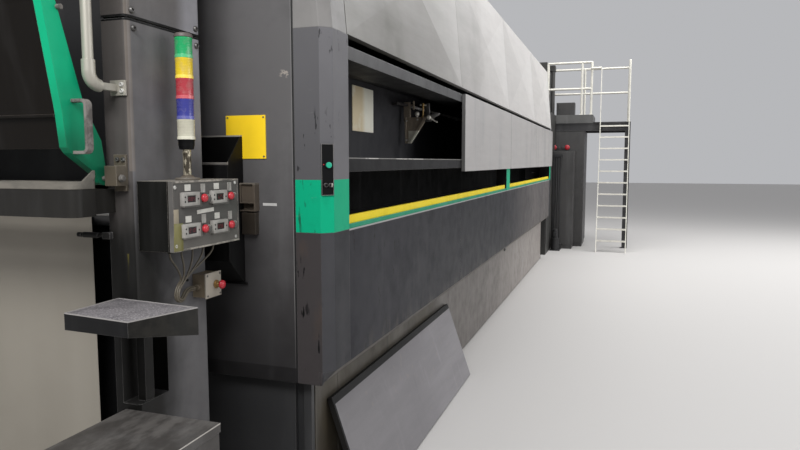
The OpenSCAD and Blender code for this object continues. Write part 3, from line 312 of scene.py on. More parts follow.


# Lamps stand further along the hall, so the canopy's near panels carry painted shade; facets tilted towards
# the far lamps carry a painted highlight, facets tilted towards the near end a painted shade
def canopyTones(paint):
    near = 1 - paint.along(0.3, 4.0)
    olive = paint.patches(0.5, 0.66, 1.9, 3) * near
    return [
        # Painted shade on the near panels
        (near * 0.95, (0.118, 0.112, 0.100)),
        (olive * 0.6, (0.085, 0.082, 0.066)),
        # Painted highlight and painted shade on the facets
        (paint.mask(paint.faceY, 0.004, 0.009) * 0.09, (0.95, 0.94, 0.92)),
        (paint.mask(0 - paint.faceY, 0.004, 0.009) * 0.10, (0.1, 0.1, 0.1)),
    ]


# The strip's rim is rubbed bare round its black face
def stripTones(paint):
    corner = at(*controlStrip["foot"])
    rim = (paint.x - paint.y) * 0.7071 > (corner.x - corner.y) * 0.7071 + 0.0056
    return [(rim * 0.85, (0.22, 0.21, 0.205))]


# Plating worn through in patches
def poleTones(paint):
    return [(paint.patches(0.5, 0.56, 46, 4, 0.65, (1, 1, 0.45)) * 0.9, (0.035, 0.026, 0.018))]


# A cover's folded ends are in shade
def coverTones(paint):
    blurred = paint.patches(0.48, 0.66, 2.2, 4, 0.55, (1, 1.4, 0.3))
    return [(blurred * 0.22, (0.13, 0.15, 0.17)), ((paint.faceY < -0.5) * 0.85, (0.05, 0.05, 0.05))]


# Darker towards the near end; the top 32 mm and the nearest 14 mm are near black, and so are the top and near
# faces, standing for the dark folded rim
def leaningTones(paint):
    low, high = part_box("leaning_cover")
    near = 1 - paint.along(0.2, 1.6)
    top = paint.faceZ > 0.6
    rim = top + (paint.faceY < -0.6) * (1 - top)
    upper = paint.z > high.z - 0.032
    fold = upper + (paint.y < low.y + 0.014) * (1 - upper)
    return [
        (near * 0.35, (0.10, 0.097, 0.098)),
        (fold, (0.004, 0.004, 0.004)),
        (rim * 0.9, (0.014, 0.013, 0.012)),
    ]


# The near end wall is darker towards the floor and has a rubbed spot beside the latch
def endTones(paint):
    across = paint.x.size()
    foot = 1 - paint.mask(paint.z, 1.0, 1.5)
    low = 1 - paint.mask(paint.z + paint.noise(1.5, 3) * 0.5, 0.8, 1.9)
    spot = paint.between(paint.x, 0.952, 1.016) * paint.between(paint.z, 1.374, 1.385)
    rub = paint.patches(0.42, 0.5, 40, 3, 0.7, (0.6, 1, 1))
    scuff = paint.mask(0.03 - (paint.x - 1.060).size(), 0, 0.022)
    scuff = scuff * paint.mask(0.022 - (paint.z - 1.896).size(), 0, 0.016)
    chipped = paint.patches(0.47, 0.55, 52, 4, 0.7)
    worn = paint.between(across, 1.0880, 1.0915) * (1 - paint.mask(paint.z, 1.0, 1.5) * 0.7)
    soil = paint.patches(0.45, 0.7, 3.2, 5, 0.65) * foot
    return [
        (soil * 0.5, (0.04, 0.034, 0.034)),
        (across > 1.0915, (0.006, 0.006, 0.006)),
        (worn * 0.8, (0.36, 0.35, 0.34)),
        ((paint.z < 0.712) * 0.8, (0.006, 0.006, 0.006)),
        (low * 0.9, (0.0075, 0.0066, 0.007)),
        (spot * rub, (0.55, 0.54, 0.52)),
        (scuff * chipped * 0.8, (0.36, 0.32, 0.28)),
    ]


# Warm grey above the box, with patches of painted sheen, a painted highlight down the rounded near corner,
# and the near faces painted darker as painted shade. Below the box the near faces and the near part of the
# aisle face carry painted shadow of the shelf and box, mixed with ink; the column across the press is darker
def columnTones(paint):
    front = paint.faceY < -0.5
    high = paint.mask(paint.z, 1.9, 2.15)
    # Patches of painted sheen
    shine = paint.patches(0.4, 0.7, 2.2, 3, 0.5, (1, 1, 0.4))
    # Noise that breaks the edge of the ink and of the painted shadow below the box
    inkAndShadeEdge = paint.noise(3.5, 4, 0.6, (1, 1, 0.4)) * 0.5
    below = 1 - paint.mask(paint.z + inkAndShadeEdge, 1.45, 1.75)
    nearSide = 1 - paint.mask(paint.y + inkAndShadeEdge * 0.4, endY - 0.42, endY - 0.22)
    # Painted highlight down the rounded near corner
    corner = paint.between(paint.y, endY - 0.592, endY - 0.574) * paint.between(paint.z, 1.52, 2.9)
    drip = paint.patches(0.6, 0.68, 16, 3, 0.6, (1, 1, 0.12)) * paint.between(paint.z, 1.06, 1.25)
    joint = paint.between(paint.z, 1.999, 2.018)
    farSide = paint.along(-0.36, -0.28) * paint.mask(paint.z, 1.5, 1.7)
    return [
        (high * 0.6, (0.150, 0.138, 0.128)),
        (shine * 0.2, (0.24, 0.23, 0.22)),
        (farSide * 0.85, (0.30, 0.295, 0.315)),
        ((paint.x < 0) * 0.85, (0.03, 0.027, 0.027)),
        # Painted shade: the near faces are darker
        (front * 0.9, (0.068, 0.060, 0.055)),
        (corner * 0.5, (0.20, 0.17, 0.145)),
        # Painted shadow of the shelf and box below it, mixed with ink
        (below * nearSide * 0.93, (0.010, 0.0095, 0.008)),
        (below * front * 0.95, (0.0018, 0.0016, 0.001)),
        (drip * nearSide * 0.6, (0.12, 0.10, 0.01)),
        (joint, (0.004, 0.004, 0.004)),
    ]


# Ink runs, dust at the foot and a pale hem under the sill; the far panels carry a painted reflection of the
# hall's far lamps, and the near panels are a little lighter
def lowerTones(paint):
    hem = paint.mask(paint.z, 1.2615, 1.2655)
    smear = paint.patches(0.5, 0.68, 2.6, 5, 0.65, (1, 0.5, 0.5))
    dust = paint.mask(0.82 - paint.z, 0.0, 0.14) * paint.patches(0.45, 0.65, 12, 4, 0.6, (1, 1, 0.3))
    far = paint.along(3.8, 6.8)
    near = 1 - paint.along(0.6, 2.0)
    return [
        (near * 0.6, (0.023, 0.023, 0.029)),
        # Painted reflection of the hall's far lamps
        (far * 0.9, (0.120, 0.109, 0.106)),
        (inkRuns(paint, 0.7, 1.26), (0.0025, 0.0025, 0.0025)),
        (smear * 0.25, (0.026, 0.027, 0.033)),
        (dust * 0.35, (0.11, 0.10, 0.085)),
        (hem * 0.75, (0.46, 0.45, 0.44)),
    ]


# The lower corners are browner in front, with rust showing through
def cornerTones(paint):
    rust = paint.patches(0.5, 0.66, 7, 5, 0.65, (1, 1, 0.5))
    front = paint.faceY < -0.85
    return [
        (front * 0.9, (0.046, 0.040, 0.040)),
        (rust * front * 0.5, (0.068, 0.050, 0.041)),
        ((paint.faceX.size() > 0.9) * 0.95, (0.0135, 0.0140, 0.0185)),
        (inkRuns(paint, 0.7, 1.26, 40), (0.0025, 0.0025, 0.0025)),
    ]


# Brown, with painted shadow of the cover that leans on it and stain patches within that shadow; lighter
# further along the press
def baseTones(paint):
    coverShadow = 1 - paint.mask(paint.y + paint.noise(3, 3) * 0.4, endY + 1.9, endY + 2.5)
    stain = paint.patches(0.4, 0.65, 5, 4, 0.6)
    far = paint.along(3.0, 7.0)
    seam = paint.between(paint.y, endY + 1.005, endY + 1.013)
    return [
        (far * 0.9, (0.290, 0.262, 0.243)),
        # Painted shadow of the leaning cover
        (coverShadow * 0.85, (0.030, 0.0235, 0.0125)),
        (coverShadow * stain * 0.4, (0.062, 0.050, 0.030)),
        (seam * 0.9, (0.003, 0.003, 0.003)),
    ]


# Body of the control box is dark at its sides; its lid is grey with a rubbed rim
def boxTones(paint):
    lid = paint.x > boxLow.x + 0.119
    face = paint.x > boxLow.x + 0.1375
    rim = face * (1 - paint.between(paint.z, boxHigh.z - 0.225, boxHigh.z - 0.006))
    foot = 1 - paint.mask(paint.z, 1.285, 1.34)
    return [
        (lid, (0.110, 0.104, 0.098)),
        (lid * foot * 0.7, (0.17, 0.16, 0.145)),
        ((paint.faceZ > 0.5) * 0.85, (0.30, 0.275, 0.24)),
        (rim * paint.patches(0.35, 0.6, 22, 4, 0.65) * 0.8, (0.5, 0.46, 0.40)),
    ]


# The guard's handles are bare and stained, and its arms darker near their pins
def guardTones(paint):
    outer = paint.x.size() > 0.7425
    low = 1 - paint.mask(paint.z + paint.noise(5, 3) * 0.2, 1.68, 1.92)
    return [
        (low * 0.8, (0.006, 0.115, 0.055)),
        (outer, (0.21, 0.195, 0.18)),
        (outer * paint.patches(0.42, 0.6, 30, 4, 0.65) * 0.7, (0.06, 0.055, 0.05)),
    ]


def trayTones(paint):
    rim = paint.z > 1.4665
    worn = paint.patches(0.4, 0.62, 9, 4, 0.65, (0.4, 1, 1))
    return [(rim, (0.105, 0.099, 0.084)), (rim * worn * 0.6, (0.22, 0.20, 0.17))]


# One of the two plates is paper, stained at its edge
def signTones(paint):
    notice = paint.y > endY + 0.5
    stain = paint.mask(endY + 1.36 - paint.y, -0.02, 0.06) * paint.patches(0.3, 0.5, 7, 3)
    return [(notice, (1.0, 0.98, 0.84)), (notice * stain * 0.7, (0.80, 0.62, 0.33))]


def latchTones(paint):
    upper = paint.mask(paint.z, 1.34, 1.35)
    rim = paint.between(paint.z, 1.459, 1.5)
    return [(upper * 0.85, (0.10, 0.078, 0.058)), (rim * 0.5, (0.2, 0.18, 0.15))]


def binTones(paint):
    top = paint.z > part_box("tool_bin")[1].z - 0.006
    lip = paint.between(paint.z, 1.539, 1.553) * (paint.y < endY - 0.108)
    return [(top * 0.9, (0.34, 0.32, 0.29)), (lip * 0.8, (0.30, 0.28, 0.26))]


def bracketTones(paint):
    tip = (paint.z < 1.765) * (paint.x > 0.915)
    rim = paint.y < endY + 1.990
    return [
        (tip * 0.9, (0.85, 0.83, 0.70)),
        (rim * 0.8, (0.62, 0.60, 0.53)),
        (paint.patches(0.4, 0.6, 14, 4, 0.6) * 0.25, (0.06, 0.045, 0.03)),
    ]


# Rubbed bright along the far half, oily before the clamp
def railTones(paint):
    return [(1 - paint.along(2.05, 2.3), (0.05, 0.047, 0.045))]


# Painted shade: hardly any light reaches the slot's back, so its downward faces are painted very dark and its
# part below 1.53 m near black, with patches of painted sheen just above
def insideTones(paint):
    sheen = paint.patches(0.45, 0.65, 2.4, 3, 0.5, (1, 1, 0.5)) * (1 - paint.mask(paint.z, 1.6, 1.72))
    return [
        # Patches of painted sheen
        (sheen * 0.5, (0.09, 0.088, 0.092)),
        # Painted shade on the downward faces
        (paint.faceZ < -0.5, (0.012, 0.012, 0.013)),
        # Painted shade: the slot's back is near black
        (paint.z < 1.53, (0.0003, 0.0003, 0.0003)),
    ]


# Lighter patches; the downward faces are painted near black as painted shade
def headerTones(paint):
    under = paint.patches(0.45, 0.62, 5, 4, 0.6, (1, 0.5, 1))
    return [(under * 0.3, (0.060, 0.058, 0.058)), (paint.faceZ < -0.5, (0.0035, 0.0035, 0.004))]


# The shelf's outer top edge is rubbed bright by arms and tools
def shelfBeamTones(paint):
    rubbed = paint.mask(paint.z, 1.562, 1.567) * (paint.x > 1.235)
    marks = paint.patches(0.52, 0.6, 4.5, 3, 0.6)
    return [(rubbed * 0.6, (0.40, 0.385, 0.36)), (rubbed * marks, (0.62, 0.6, 0.56))]


# The platform's front edge
def deckTones(paint):
    return [(paint.between(paint.z, 2.252, 2.401) * (paint.x < 1.806), (0.093, 0.092, 0.089))]


def stepTones(paint):
    top = paint.faceZ > 0.5
    lip = (paint.z > stepHigh.z - 0.004) * (1 - top)
    scuffs = paint.patches(0.45, 0.62, 8, 5, 0.7, (1, 0.35, 1))
    return [
        (top * 0.8, (0.055, 0.05, 0.046)),
        (top * scuffs * 0.6, (0.15, 0.14, 0.13)),
        (lip, (0.45, 0.42, 0.38)),
    ]


# The aisle side has a tone of its own with patches; the top of the rim is painted pale, a painted highlight
# along the lip together with wear
def shelfTones(paint):
    aisle = paint.faceX > 0.5
    return [
        (aisle * 0.95, (0.0075, 0.007, 0.0055)),
        (aisle * paint.patches(0.42, 0.62, 16, 4, 0.6) * 0.5, (0.024, 0.022, 0.018)),
        ((paint.z > shelfHigh.z - 0.003) * 0.9, (0.36, 0.34, 0.33)),
    ]


# Paper with a soft sheen and faint folds along its run; the paler bands along the folds are painted
# highlights
def webPaper(name):
    paint = Paint(name)
    wave = paint.noise(3.2, 2, 0.4, (1, 0.2, 0.12))
    cloud = paint.noise(5, 3)
    base = paint.mix(paint.mask(cloud, 0.35, 0.7) * 0.2, (0.25, 0.228, 0.19), (0.195, 0.175, 0.143))
    # Painted highlights along the folds
    base = paint.mix(paint.mask(wave, 0.42, 0.7) * 0.35, base, (0.36, 0.33, 0.28))
    bump = paint.bump(wave * 4 + paint.noise(220, 3, 0.6) * 0.05, 0.12, 0.01)
    return paint.surface(base, 0.55 + cloud * 0.1, 0.0, bump)


# A lens is ribbed inside, with a painted highlight on the bead at its foot
def lensPlastic(name, colour, foot):
    paint = Paint(name)
    ribs = paint.node("ShaderNodeTexWave", {"bands_direction": "Z"}, {
        "Vector": paint.place, "Scale": 60.0, "Distortion": 0.4,
    })
    beadHighlight = paint.between(paint.z, foot - 0.001, foot + 0.0115)
    dust = paint.patches(0.45, 0.7, 30, 4, 0.6)
    base = paint.mix(ribs * 0.25, colour, darker(colour, 0.55))
    # Painted highlight on the bead
    base = paint.mix(beadHighlight * 0.55, base, lighter(colour, 1.3, 0.12))
    base = paint.mix(dust * 0.25, base, (0.25, 0.22, 0.18))
    return paint.surface(base, 0.22 + dust * 0.2, 0.0, paint.bump(ribs, 0.25, 0.001),
                         Coat_Weight=0.5, Coat_Roughness=0.1, Emission_Color=base, Emission_Strength=0.12)


# A dark window with a faint glow behind it
def meterGlass(name):
    paint = Paint(name)
    smudge = paint.noise(60, 4, 0.6)
    base = paint.mix(smudge * 0.4, (0.012, 0.006, 0.008), (0.03, 0.02, 0.022))
    return paint.surface(base, 0.3 + smudge * 0.15,
                         Coat_Weight=0.12, Coat_Roughness=0.1, Specular_IOR_Level=0.25)


# Speckled rubber mat, dusted with paper lint
def shelfMat(name):
    paint = Paint(name)
    lint = paint.patches(0.52, 0.6, 150, 4, 0.75)
    patch = paint.noise(12, 4, 0.6)
    base = paint.mix(paint.mask(patch, 0.4, 0.65) * 0.6, (0.17, 0.16, 0.165), (0.07, 0.065, 0.07))
    base = paint.mix(lint * 0.6, base, (0.46, 0.42, 0.43))
    return paint.surface(base, 0.7, 0.0, paint.bump(lint + patch, 0.5, 0.0012))


# Colour, roughness, wear, grime and wiped streaks of each paint, then what else differs
machinePaints = {
    "lower": ((0.0135, 0.0140, 0.0185), 0.4, 0.5, 0.3, 0.08, {"tones": lowerTones, "shine": 0.14}),
    "lowerCorner": ((0.048, 0.0475, 0.052), 0.4, 0.4, 0.3, 0.08, {"tones": cornerTones, "shine": 0.25}),
    "end": ((0.105, 0.101, 0.102), 0.4, 0.3, 0.5, 0.25, {"tones": endTones}),
    "corner": ((0.205, 0.197, 0.190), 0.38, 0.35, 0.35, 0.3, {}),
    "header": ((0.027, 0.0265, 0.028), 0.42, 0.7, 0.4, 0.15, {
        "tones": headerTones, "chip": (0.32, 0.31, 0.3)}),
    "shelfBeam": ((0.0115, 0.0112, 0.012), 0.45, 0.4, 0.4, 0.05, {
        "tones": shelfBeamTones, "shine": 0.12, "chip": (0.5, 0.48, 0.45)}),
    "base": ((0.120, 0.108, 0.099), 0.45, 0.5, 0.5, 0.3, {"tones": baseTones}),
    "baseEnd": ((0.024, 0.024, 0.025), 0.5, 0.3, 0.4, 0.2, {}),
    "dark": ((0.014, 0.014, 0.015), 0.5, 0.3, 0.3, 0.15, {}),
    "bin": ((0.004, 0.0038, 0.004), 0.45, 0.08, 0.3, 0.1, {"tones": binTones, "shine": 0.15}),
    "inside": ((0.048, 0.048, 0.052), 0.6, 0.3, 0.5, 0.2, {"tones": insideTones, "shine": 0.12}),
    "lip": ((0.112, 0.100, 0.086), 0.5, 0.4, 0.4, 0.3, {}),
    "beige": ((0.085, 0.068, 0.046), 0.45, 0.7, 0.5, 0.3, {"chip": (0.34, 0.31, 0.25)}),
    "bracket": ((0.30, 0.25, 0.19), 0.42, 0.9, 0.3, 0.3, {
        "tones": bracketTones, "chip": (0.5, 0.46, 0.38), "radius": 0.003}),
    "latch": ((0.036, 0.028, 0.020), 0.42, 0.5, 0.5, 0.3, {
        "tones": latchTones, "chip": (0.3, 0.27, 0.22), "radius": 0.002}),
    "green": ((0.005, 0.41, 0.20), 0.36, 0.4, 0.25, 0.2, {
        "tones": guardTones, "shine": 0.15, "chip": (0.1, 0.12, 0.1)}),
    "strip": ((0.004, 0.25, 0.135), 0.4, 0.5, 0.4, 0.2, {"shine": 0.2, "chip": (0.45, 0.5, 0.45)}),
    "yellow": ((0.80, 0.62, 0.012), 0.45, 0.4, 0.3, 0.1, {"shine": 0.2, "chip": (0.25, 0.22, 0.1)}),
    "column": ((0.130, 0.127, 0.132), 0.42, 0.5, 0.5, 0.2, {"tones": columnTones, "shine": 0.18}),
    "hood": ((0.0060, 0.0047, 0.0036), 0.36, 0.5, 0.3, 0.1, {"shine": 0.15, "chip": (0.2, 0.17, 0.14)}),
    "tray": ((0.011, 0.010, 0.0083), 0.4, 0.4, 0.4, 0.2, {
        "tones": trayTones, "shine": 0.35, "chip": (0.2, 0.18, 0.15)}),
    "box": ((0.0034, 0.0034, 0.0026), 0.35, 0.5, 0.4, 0.1, {
        "tones": boxTones, "shine": 0.12, "chip": (0.5, 0.46, 0.4)}),
    "junction": ((0.19, 0.15, 0.10), 0.42, 0.6, 0.4, 0.2, {"chip": (0.5, 0.46, 0.4)}),
    "plate": ((0.40, 0.36, 0.30), 0.42, 0.4, 0.35, 0.2, {"chip": (0.55, 0.52, 0.46)}),
    "stripFrame": ((0.0035, 0.0035, 0.004), 0.45, 0.3, 0.3, 0.0, {
        "tones": stripTones, "shine": 0.12, "chip": (0.42, 0.41, 0.40), "radius": 0.0012}),
    "far": ((0.03, 0.029, 0.027), 0.42, 0.4, 0.4, 0.3, {}),
    "cabinet": ((0.043, 0.041, 0.040), 0.42, 0.4, 0.4, 0.3, {}),
    "platform": ((0.018, 0.017, 0.0185), 0.42, 0.6, 0.4, 0.3, {"tones": deckTones}),
    "sign": ((0.98, 0.66, 0.014), 0.4, 0.25, 0.2, 0.1, {"tones": signTones, "chip": (0.5, 0.4, 0.2)}),
    "shelf": ((0.0055, 0.0055, 0.006), 0.36, 0.5, 0.4, 0.1, {"tones": shelfTones, "shine": 0.2}),
    "step": ((0.050, 0.045, 0.042), 0.42, 0.6, 0.4, 0.3, {"tones": stepTones}),
}

# Colour, roughness, metal and contrast of each sheet, its tones, then spots, drips and shine
sheets = {
    "canopy": ((0.61, 0.59, 0.57), 0.36, 0.35, 0.45, canopyTones),
    "cover": ((0.52, 0.50, 0.485), 0.3, 0.5, 0.4, coverTones),
    "leaning": ((0.25, 0.24, 0.25), 0.42, 0.2, 0.5, leaningTones, 0.2, 0.45, 0.22),
}

# Colour and roughness of each metal, then its grain's stretch, stains, metal and tones
metals = {
    "steel": ((0.42, 0.42, 0.42), 0.3),
    "pale": ((0.62, 0.61, 0.58), 0.34, (1, 1, 1), 0.35, 0.55),
    "grab": ((0.42, 0.40, 0.345), 0.3, (1, 1, 0.3), 0.4, 0.35),
    "silverTube": ((0.70, 0.68, 0.61), 0.32, (1, 1, 1), 0.3, 0.4),
    "rail": ((0.80, 0.78, 0.74), 0.34, (1, 1, 1), 0.3, 0.1, railTones),
    "brass": ((0.42, 0.28, 0.12), 0.35),
    "bolt": ((0.16, 0.155, 0.15), 0.4),
    "pole": ((0.60, 0.54, 0.41), 0.22, (1, 1, 0.4), 0.9, 0.75, poleTones),
}

# Colour and roughness of each plastic, then its mottle and scale, coat, glow and shine
plastics = {
    "rubber": ((0.018, 0.018, 0.019), 0.35),
    "black": ((0.003, 0.003, 0.0033), 0.45, 0.25, 40, 0, 0, 0.15),
    "cable": ((0.115, 0.098, 0.072), 0.42, 0.6, 60),
    "hose": ((0.014, 0.014, 0.015), 0.35, 0.3, 20),
    "digit": ((0.30, 0.02, 0.035), 0.4, 0.1, 60, 0, 0.12),
    "red": ((0.46, 0.018, 0.03), 0.32, 0.4, 50, 0.3),
    "greenButton": ((0.01, 0.36, 0.22), 0.3, 0.3, 50, 0.3, 0.1),
    "tag": ((0.62, 0.60, 0.55), 0.5, 0.35, 30),
    "bezel": ((0.34, 0.325, 0.30), 0.42, 0.6, 25),
    "tape": ((0.30, 0.255, 0.185), 0.5, 0.4, 20),
    "oldTape": ((0.17, 0.155, 0.045), 0.35, 0.5, 20, 0.3),
    "capGrey": ((0.105, 0.088, 0.080), 0.45, 0.4, 30),
}

# Lenses of the stack light, from its foot upwards
lenses = {
    "lensClear": (0.50, 0.48, 0.38), "lensBlue": (0.035, 0.04, 0.25), "lensRed": (0.40, 0.035, 0.05),
    "lensYellow": (0.70, 0.50, 0.02), "lensGreen": (0.01, 0.34, 0.11),
}


def makeFinishes():
    made = {
        "post": bandedPaint("postPaint", (0.150, 0.147, 0.155), 1.48, 0.76, endY + 1),
        "bayPost": bandedPaint("bayPostPaint", (0.05, 0.045, 0.04), 1.49, 1.0, endY),
        "paper": webPaper("webPaper"),
        "mat": shelfMat("shelfMat"),
        "glass": meterGlass("meterGlass"),
    }
    for key, (*values, more) in machinePaints.items():
        made[key] = machinePaint(key + "Paint", *values, **more)
    for kind, maker, ending in ((sheets, silverSheet, "Sheet"), (metals, bareSteel, "Metal"),
                                (plastics, plainPlastic, "Plastic")):
        for key, values in kind.items():
            made[key] = maker(key + ending, *values)
    for i, (key, colour) in enumerate(lenses.items()):
        made[key] = lensPlastic(key, colour, lightFoot(i))
    return made


# Modelling steps that the pieces share
def alone(*pieces):
    if bpy.context.mode != "OBJECT":
        bpy.ops.object.mode_set(mode="OBJECT")
    bpy.ops.object.select_all(action="DESELECT")
    for piece in pieces:
        piece.select_set(True)
    if pieces:
        bpy.context.view_layer.objects.active = pieces[0]


def bakePlace(piece):
    alone(piece)
    bpy.ops.object.transform_apply(location=True, rotation=True, scale=True)
    return piece


def startBlock(name, centre, size, turn=(0, 0, 0)):
    alone()
    bpy.ops.mesh.primitive_cube_add(size=1, location=centre, rotation=turn, scale=size)
    piece = bpy.context.object
    piece.name = name
    return bakePlace(piece)


# Picked faces or corners are worked on in edit mode by the steps given
def shapePicked(piece, kind, pick, steps):
    alone(piece)
    bpy.ops.object.mode_set(mode="EDIT")
    bpy.ops.mesh.select_mode(type=kind)
    bpy.ops.mesh.select_all(action="DESELECT")
    bpy.ops.object.mode_set(mode="OBJECT")
    for part in piece.data.polygons if kind == "FACE" else piece.data.vertices:
        part.select = pick(part)
    bpy.ops.object.mode_set(mode="EDIT")
    for step in steps:
        step()
    bpy.ops.object.mode_set(mode="OBJECT")
    return piece


def shapeFaces(piece, pick, *steps):
    return shapePicked(piece, "FACE", lambda face: pick(face.center, face.normal), steps)


def shapePoints(piece, pick, *steps):
    return shapePicked(piece, "VERT", lambda point: pick(point.co), steps)


def inset(thickness):
    return lambda: bpy.ops.mesh.inset(thickness=thickness, use_even_offset=True)


def push(x, y, z):
    return lambda: bpy.ops.mesh.extrude_region_move(TRANSFORM_OT_translate={"value": (x, y, z)})


def grow(x, y, z, centre):
    return lambda: bpy.ops.transform.resize(value=(x, y, z), center_override=centre)


def shift(x, y, z):
    return lambda: bpy.ops.transform.translate(value=(x, y, z))


# Picks the faces that look along a direction
def looking(direction):
    return lambda centre, normal: normal.dot(Vector(direction)) > 0.9


def rounded(piece, width, segments=2):
    alone(piece)
    bevel = piece.modifiers.new("rounding", "BEVEL")
    bevel.width = width
    bevel.segments = segments
    bevel.limit_method = "ANGLE"
    bevel.angle_limit = math.radians(35)
    bpy.ops.object.modifier_apply(modifier=bevel.name)
    bpy.ops.object.shade_smooth_by_angle(angle=math.radians(40))
    return piece


# A turned shape: a disc extruded and scaled step by step, along its axis
def turned(name, foot, along, profile, sides=28):
    foot = Vector(foot)
    along = Vector(along).normalized()
    start, radius = profile[0]
    lean = along.to_track_quat("Z", "Y").to_euler()
    alone()
    bpy.ops.mesh.primitive_circle_add(
        vertices=sides, radius=radius, fill_type="NGON", location=foot + along * start, rotation=lean)
    piece = bpy.context.object
    piece.name = name
    bakePlace(piece)
    bpy.ops.object.mode_set(mode="EDIT")
    bpy.ops.mesh.select_all(action="SELECT")
    for (low, first), (high, second) in zip(profile, profile[1:]):
        bpy.ops.mesh.extrude_region_move(TRANSFORM_OT_translate={"value": along * (high - low)})
        share = second / first
        bpy.ops.transform.resize(value=(share, share, share), center_override=foot + along * high)
    bpy.ops.mesh.select_all(action="SELECT")
    bpy.ops.mesh.normals_make_consistent(inside=False)
    bpy.ops.object.mode_set(mode="OBJECT")
    bpy.ops.object.shade_smooth_by_angle(angle=math.radians(38))
    return piece


# Copies of a piece, each with its own mesh, joined with it
def repeated(piece, moves):
    row = [piece]
    for move in moves:
        alone(piece)
        bpy.ops.object.duplicate()
        copy = bpy.context.object
        copy.location = move
        row.append(bakePlace(copy))
    return joined(row)


def joined(row):
    alone(*row)
    if len(row) > 1:
        bpy.ops.object.join()
    return row[0]


def turnedCopy(piece, name, matrix):
    alone(piece)
    bpy.ops.object.duplicate()
    copy = bpy.context.object
    copy.name = name
    copy.matrix_world = matrix
    return bakePlace(copy)


def tube(name, points, radius, sides=3):
    data = bpy.data.curves.new(name, "CURVE")
    data.dimensions = "3D"
    data.bevel_depth = radius
    data.bevel_resolution = sides
    data.use_fill_caps = True
    data.resolution_u = 6
    spline = data.splines.new("NURBS")
    spline.points.add(len(points) - 1)
    for point, place in zip(spline.points, points):
        point.co = (*place, 1)
    spline.order_u = 4
    spline.use_endpoint_u = True
    piece = bpy.data.objects.new(name, data)
    bpy.context.collection.objects.link(piece)
    return piece


def own(piece, finish):
    piece.data.materials.clear()
    piece.data.materials.append(finishes[finish])
    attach(piece, "press")
    return piece


def addTurned(name, foot, along, profile, finish, sides=28):
    return own(turned(name, foot, along, profile, sides), finish)


# Screws with a driver's recess, their heads towards along
def addScrews(name, places, along, radius, height, finish="bolt", sides=16):
    along = Vector(along).normalized()
    profile = [(0, radius), (height * 0.6, radius), (height, radius * 0.78)]
    head = turned(name, places[0], along, profile, sides)
    shapeFaces(head, looking(along), inset(radius * 0.3), push(*(along * -height * 0.5)))
    return own(repeated(head, [place - places[0] for place in places[1:]]), finish)


# Meters, buttons and labels of the control box
controlFace = {
    "depth": 0.139,  # of the box, from the column to its lid
    "rowsDown": 0.1125,  # from the box's top to halfway between the rows
    "rowUp": 0.0525,
    "meters": (-0.108, 0.054),  # along the press from the lid's middle
    "buttons": (-0.043, 0.116),
    "bezel": (0.0153, 0.0880, 0.0450),
    "bezelOut": 0.0051,
    "bezelRim": 0.0108,
    "bezelDish": -0.0022,
    "keyAway": (0.0122, -0.0350, -0.008),  # of the lowest key, from a meter's middle
    "nextKeys": [(0, 0, 0.015), (0, 0.0695, 0.007)],
    "keys": [(0, 0.0030), (0.0011, 0.0030), (0.0018, 0.0020)],
    "collar": [(-0.002, 0.0148), (0.0046, 0.0148), (0.0064, 0.0136), (0.0066, 0.0088), (0.0118, 0.0088)],
    "cap": [
        (0.0112, 0.0124), (0.0124, 0.0138), (0.016, 0.0145), (0.0200, 0.0138), (0.0230, 0.0112),
        (0.0249, 0.0068), (0.0255, 0.0028),
    ],
    "screws": [(-0.560, 1.468), (-0.215, 1.474), (-0.562, 1.277), (-0.217, 1.274)],
}

# Each plate on the lid: its middle, from a meter or button or else along and up, and its size;
# then its rim's width, push of its face, rounding, and tilt in degrees
lidPlates = {
    "meter_windows": ((0.0104, 0, 0), (0.0012, 0.0448, 0.0228), 0.0016, 0.0003, 0, 0),
    "meter_cards": ((-0.0012, -0.003, 0.0372), (0.0012, 0.030, 0.0215), 0.0022, -0.0003, 0, 0),
    "button_cards": ((-0.0008, 0.015, 0.0325), (0.0026, 0.0235, 0.0310), 0.0028, -0.0009, 0.0006, 0),
    "label_strip": ((-0.0012, -0.398, 1.3825), (0.0012, 0.096, 0.0135), 0.0015, 0.0002, 0, 2.6),
    "tape_upper": ((-0.0004, -0.5575, 1.3735), (0.0022, 0.024, 0.046), 0.002, 0.0003, 0.0005, 0),
    "tape_lower": ((0.0001, -0.5485, 1.3050), (0.0022, 0.045, 0.091), 0.003, 0.0004, 0.0005, -1.5),
}

meterDigits = {
    "figures": ("084", "125", "210", "096"),
    "out": 0.0113,
    "pitch": 0.0125,
    "segment": (0.0006, 0.0050, 0.0012),
    "away": (0.0034, 0.0062),  # from a figure's middle to its side and its end
    # Segments of a figure: middle along the press, middle up, upright or level
    "spots": {
        "a": (0, 1, False), "b": (1, 0.5, True), "c": (1, -0.5, True), "d": (0, -1, False),
        "e": (-1, -0.5, True), "f": (-1, 0.5, True), "g": (0, 0, False),
    },
    "lit": {
        "0": "abcdef", "1": "bc", "2": "abged", "4": "fgbc", "5": "afgcd", "6": "afgcde", "8": "abcdefg",
        "9": "abcfgd",
    },
}


def buildDigits(face, places):
    level = startBlock("level_segment", (0, 0, 0), meterDigits["segment"])
    shapeFaces(level, lambda centre, normal: abs(normal.y) > 0.9, grow(1, 1, 0.4, (0, 0, 0)))
    upright = turnedCopy(level, "upright_segment", Matrix.Rotation(math.radians(90), 4, "X"))
    pitch = meterDigits["pitch"]
    side, end = meterDigits["away"]
    made = []
    for (y, z), text in zip(places, meterDigits["figures"]):
        for i, figure in enumerate(text):
            for segment in meterDigits["lit"][figure]:
                across, up, stands = meterDigits["spots"][segment]
                where = (face + meterDigits["out"], y - pitch + i * pitch + across * side, z + up * end)
                made.append(turnedCopy(upright if stands else level, "segment", Matrix.Translation(where)))
    bpy.data.objects.remove(level)
    bpy.data.objects.remove(upright)
    figures = joined(made)
    figures.name = "meter_digits"
    return own(figures, "digit")


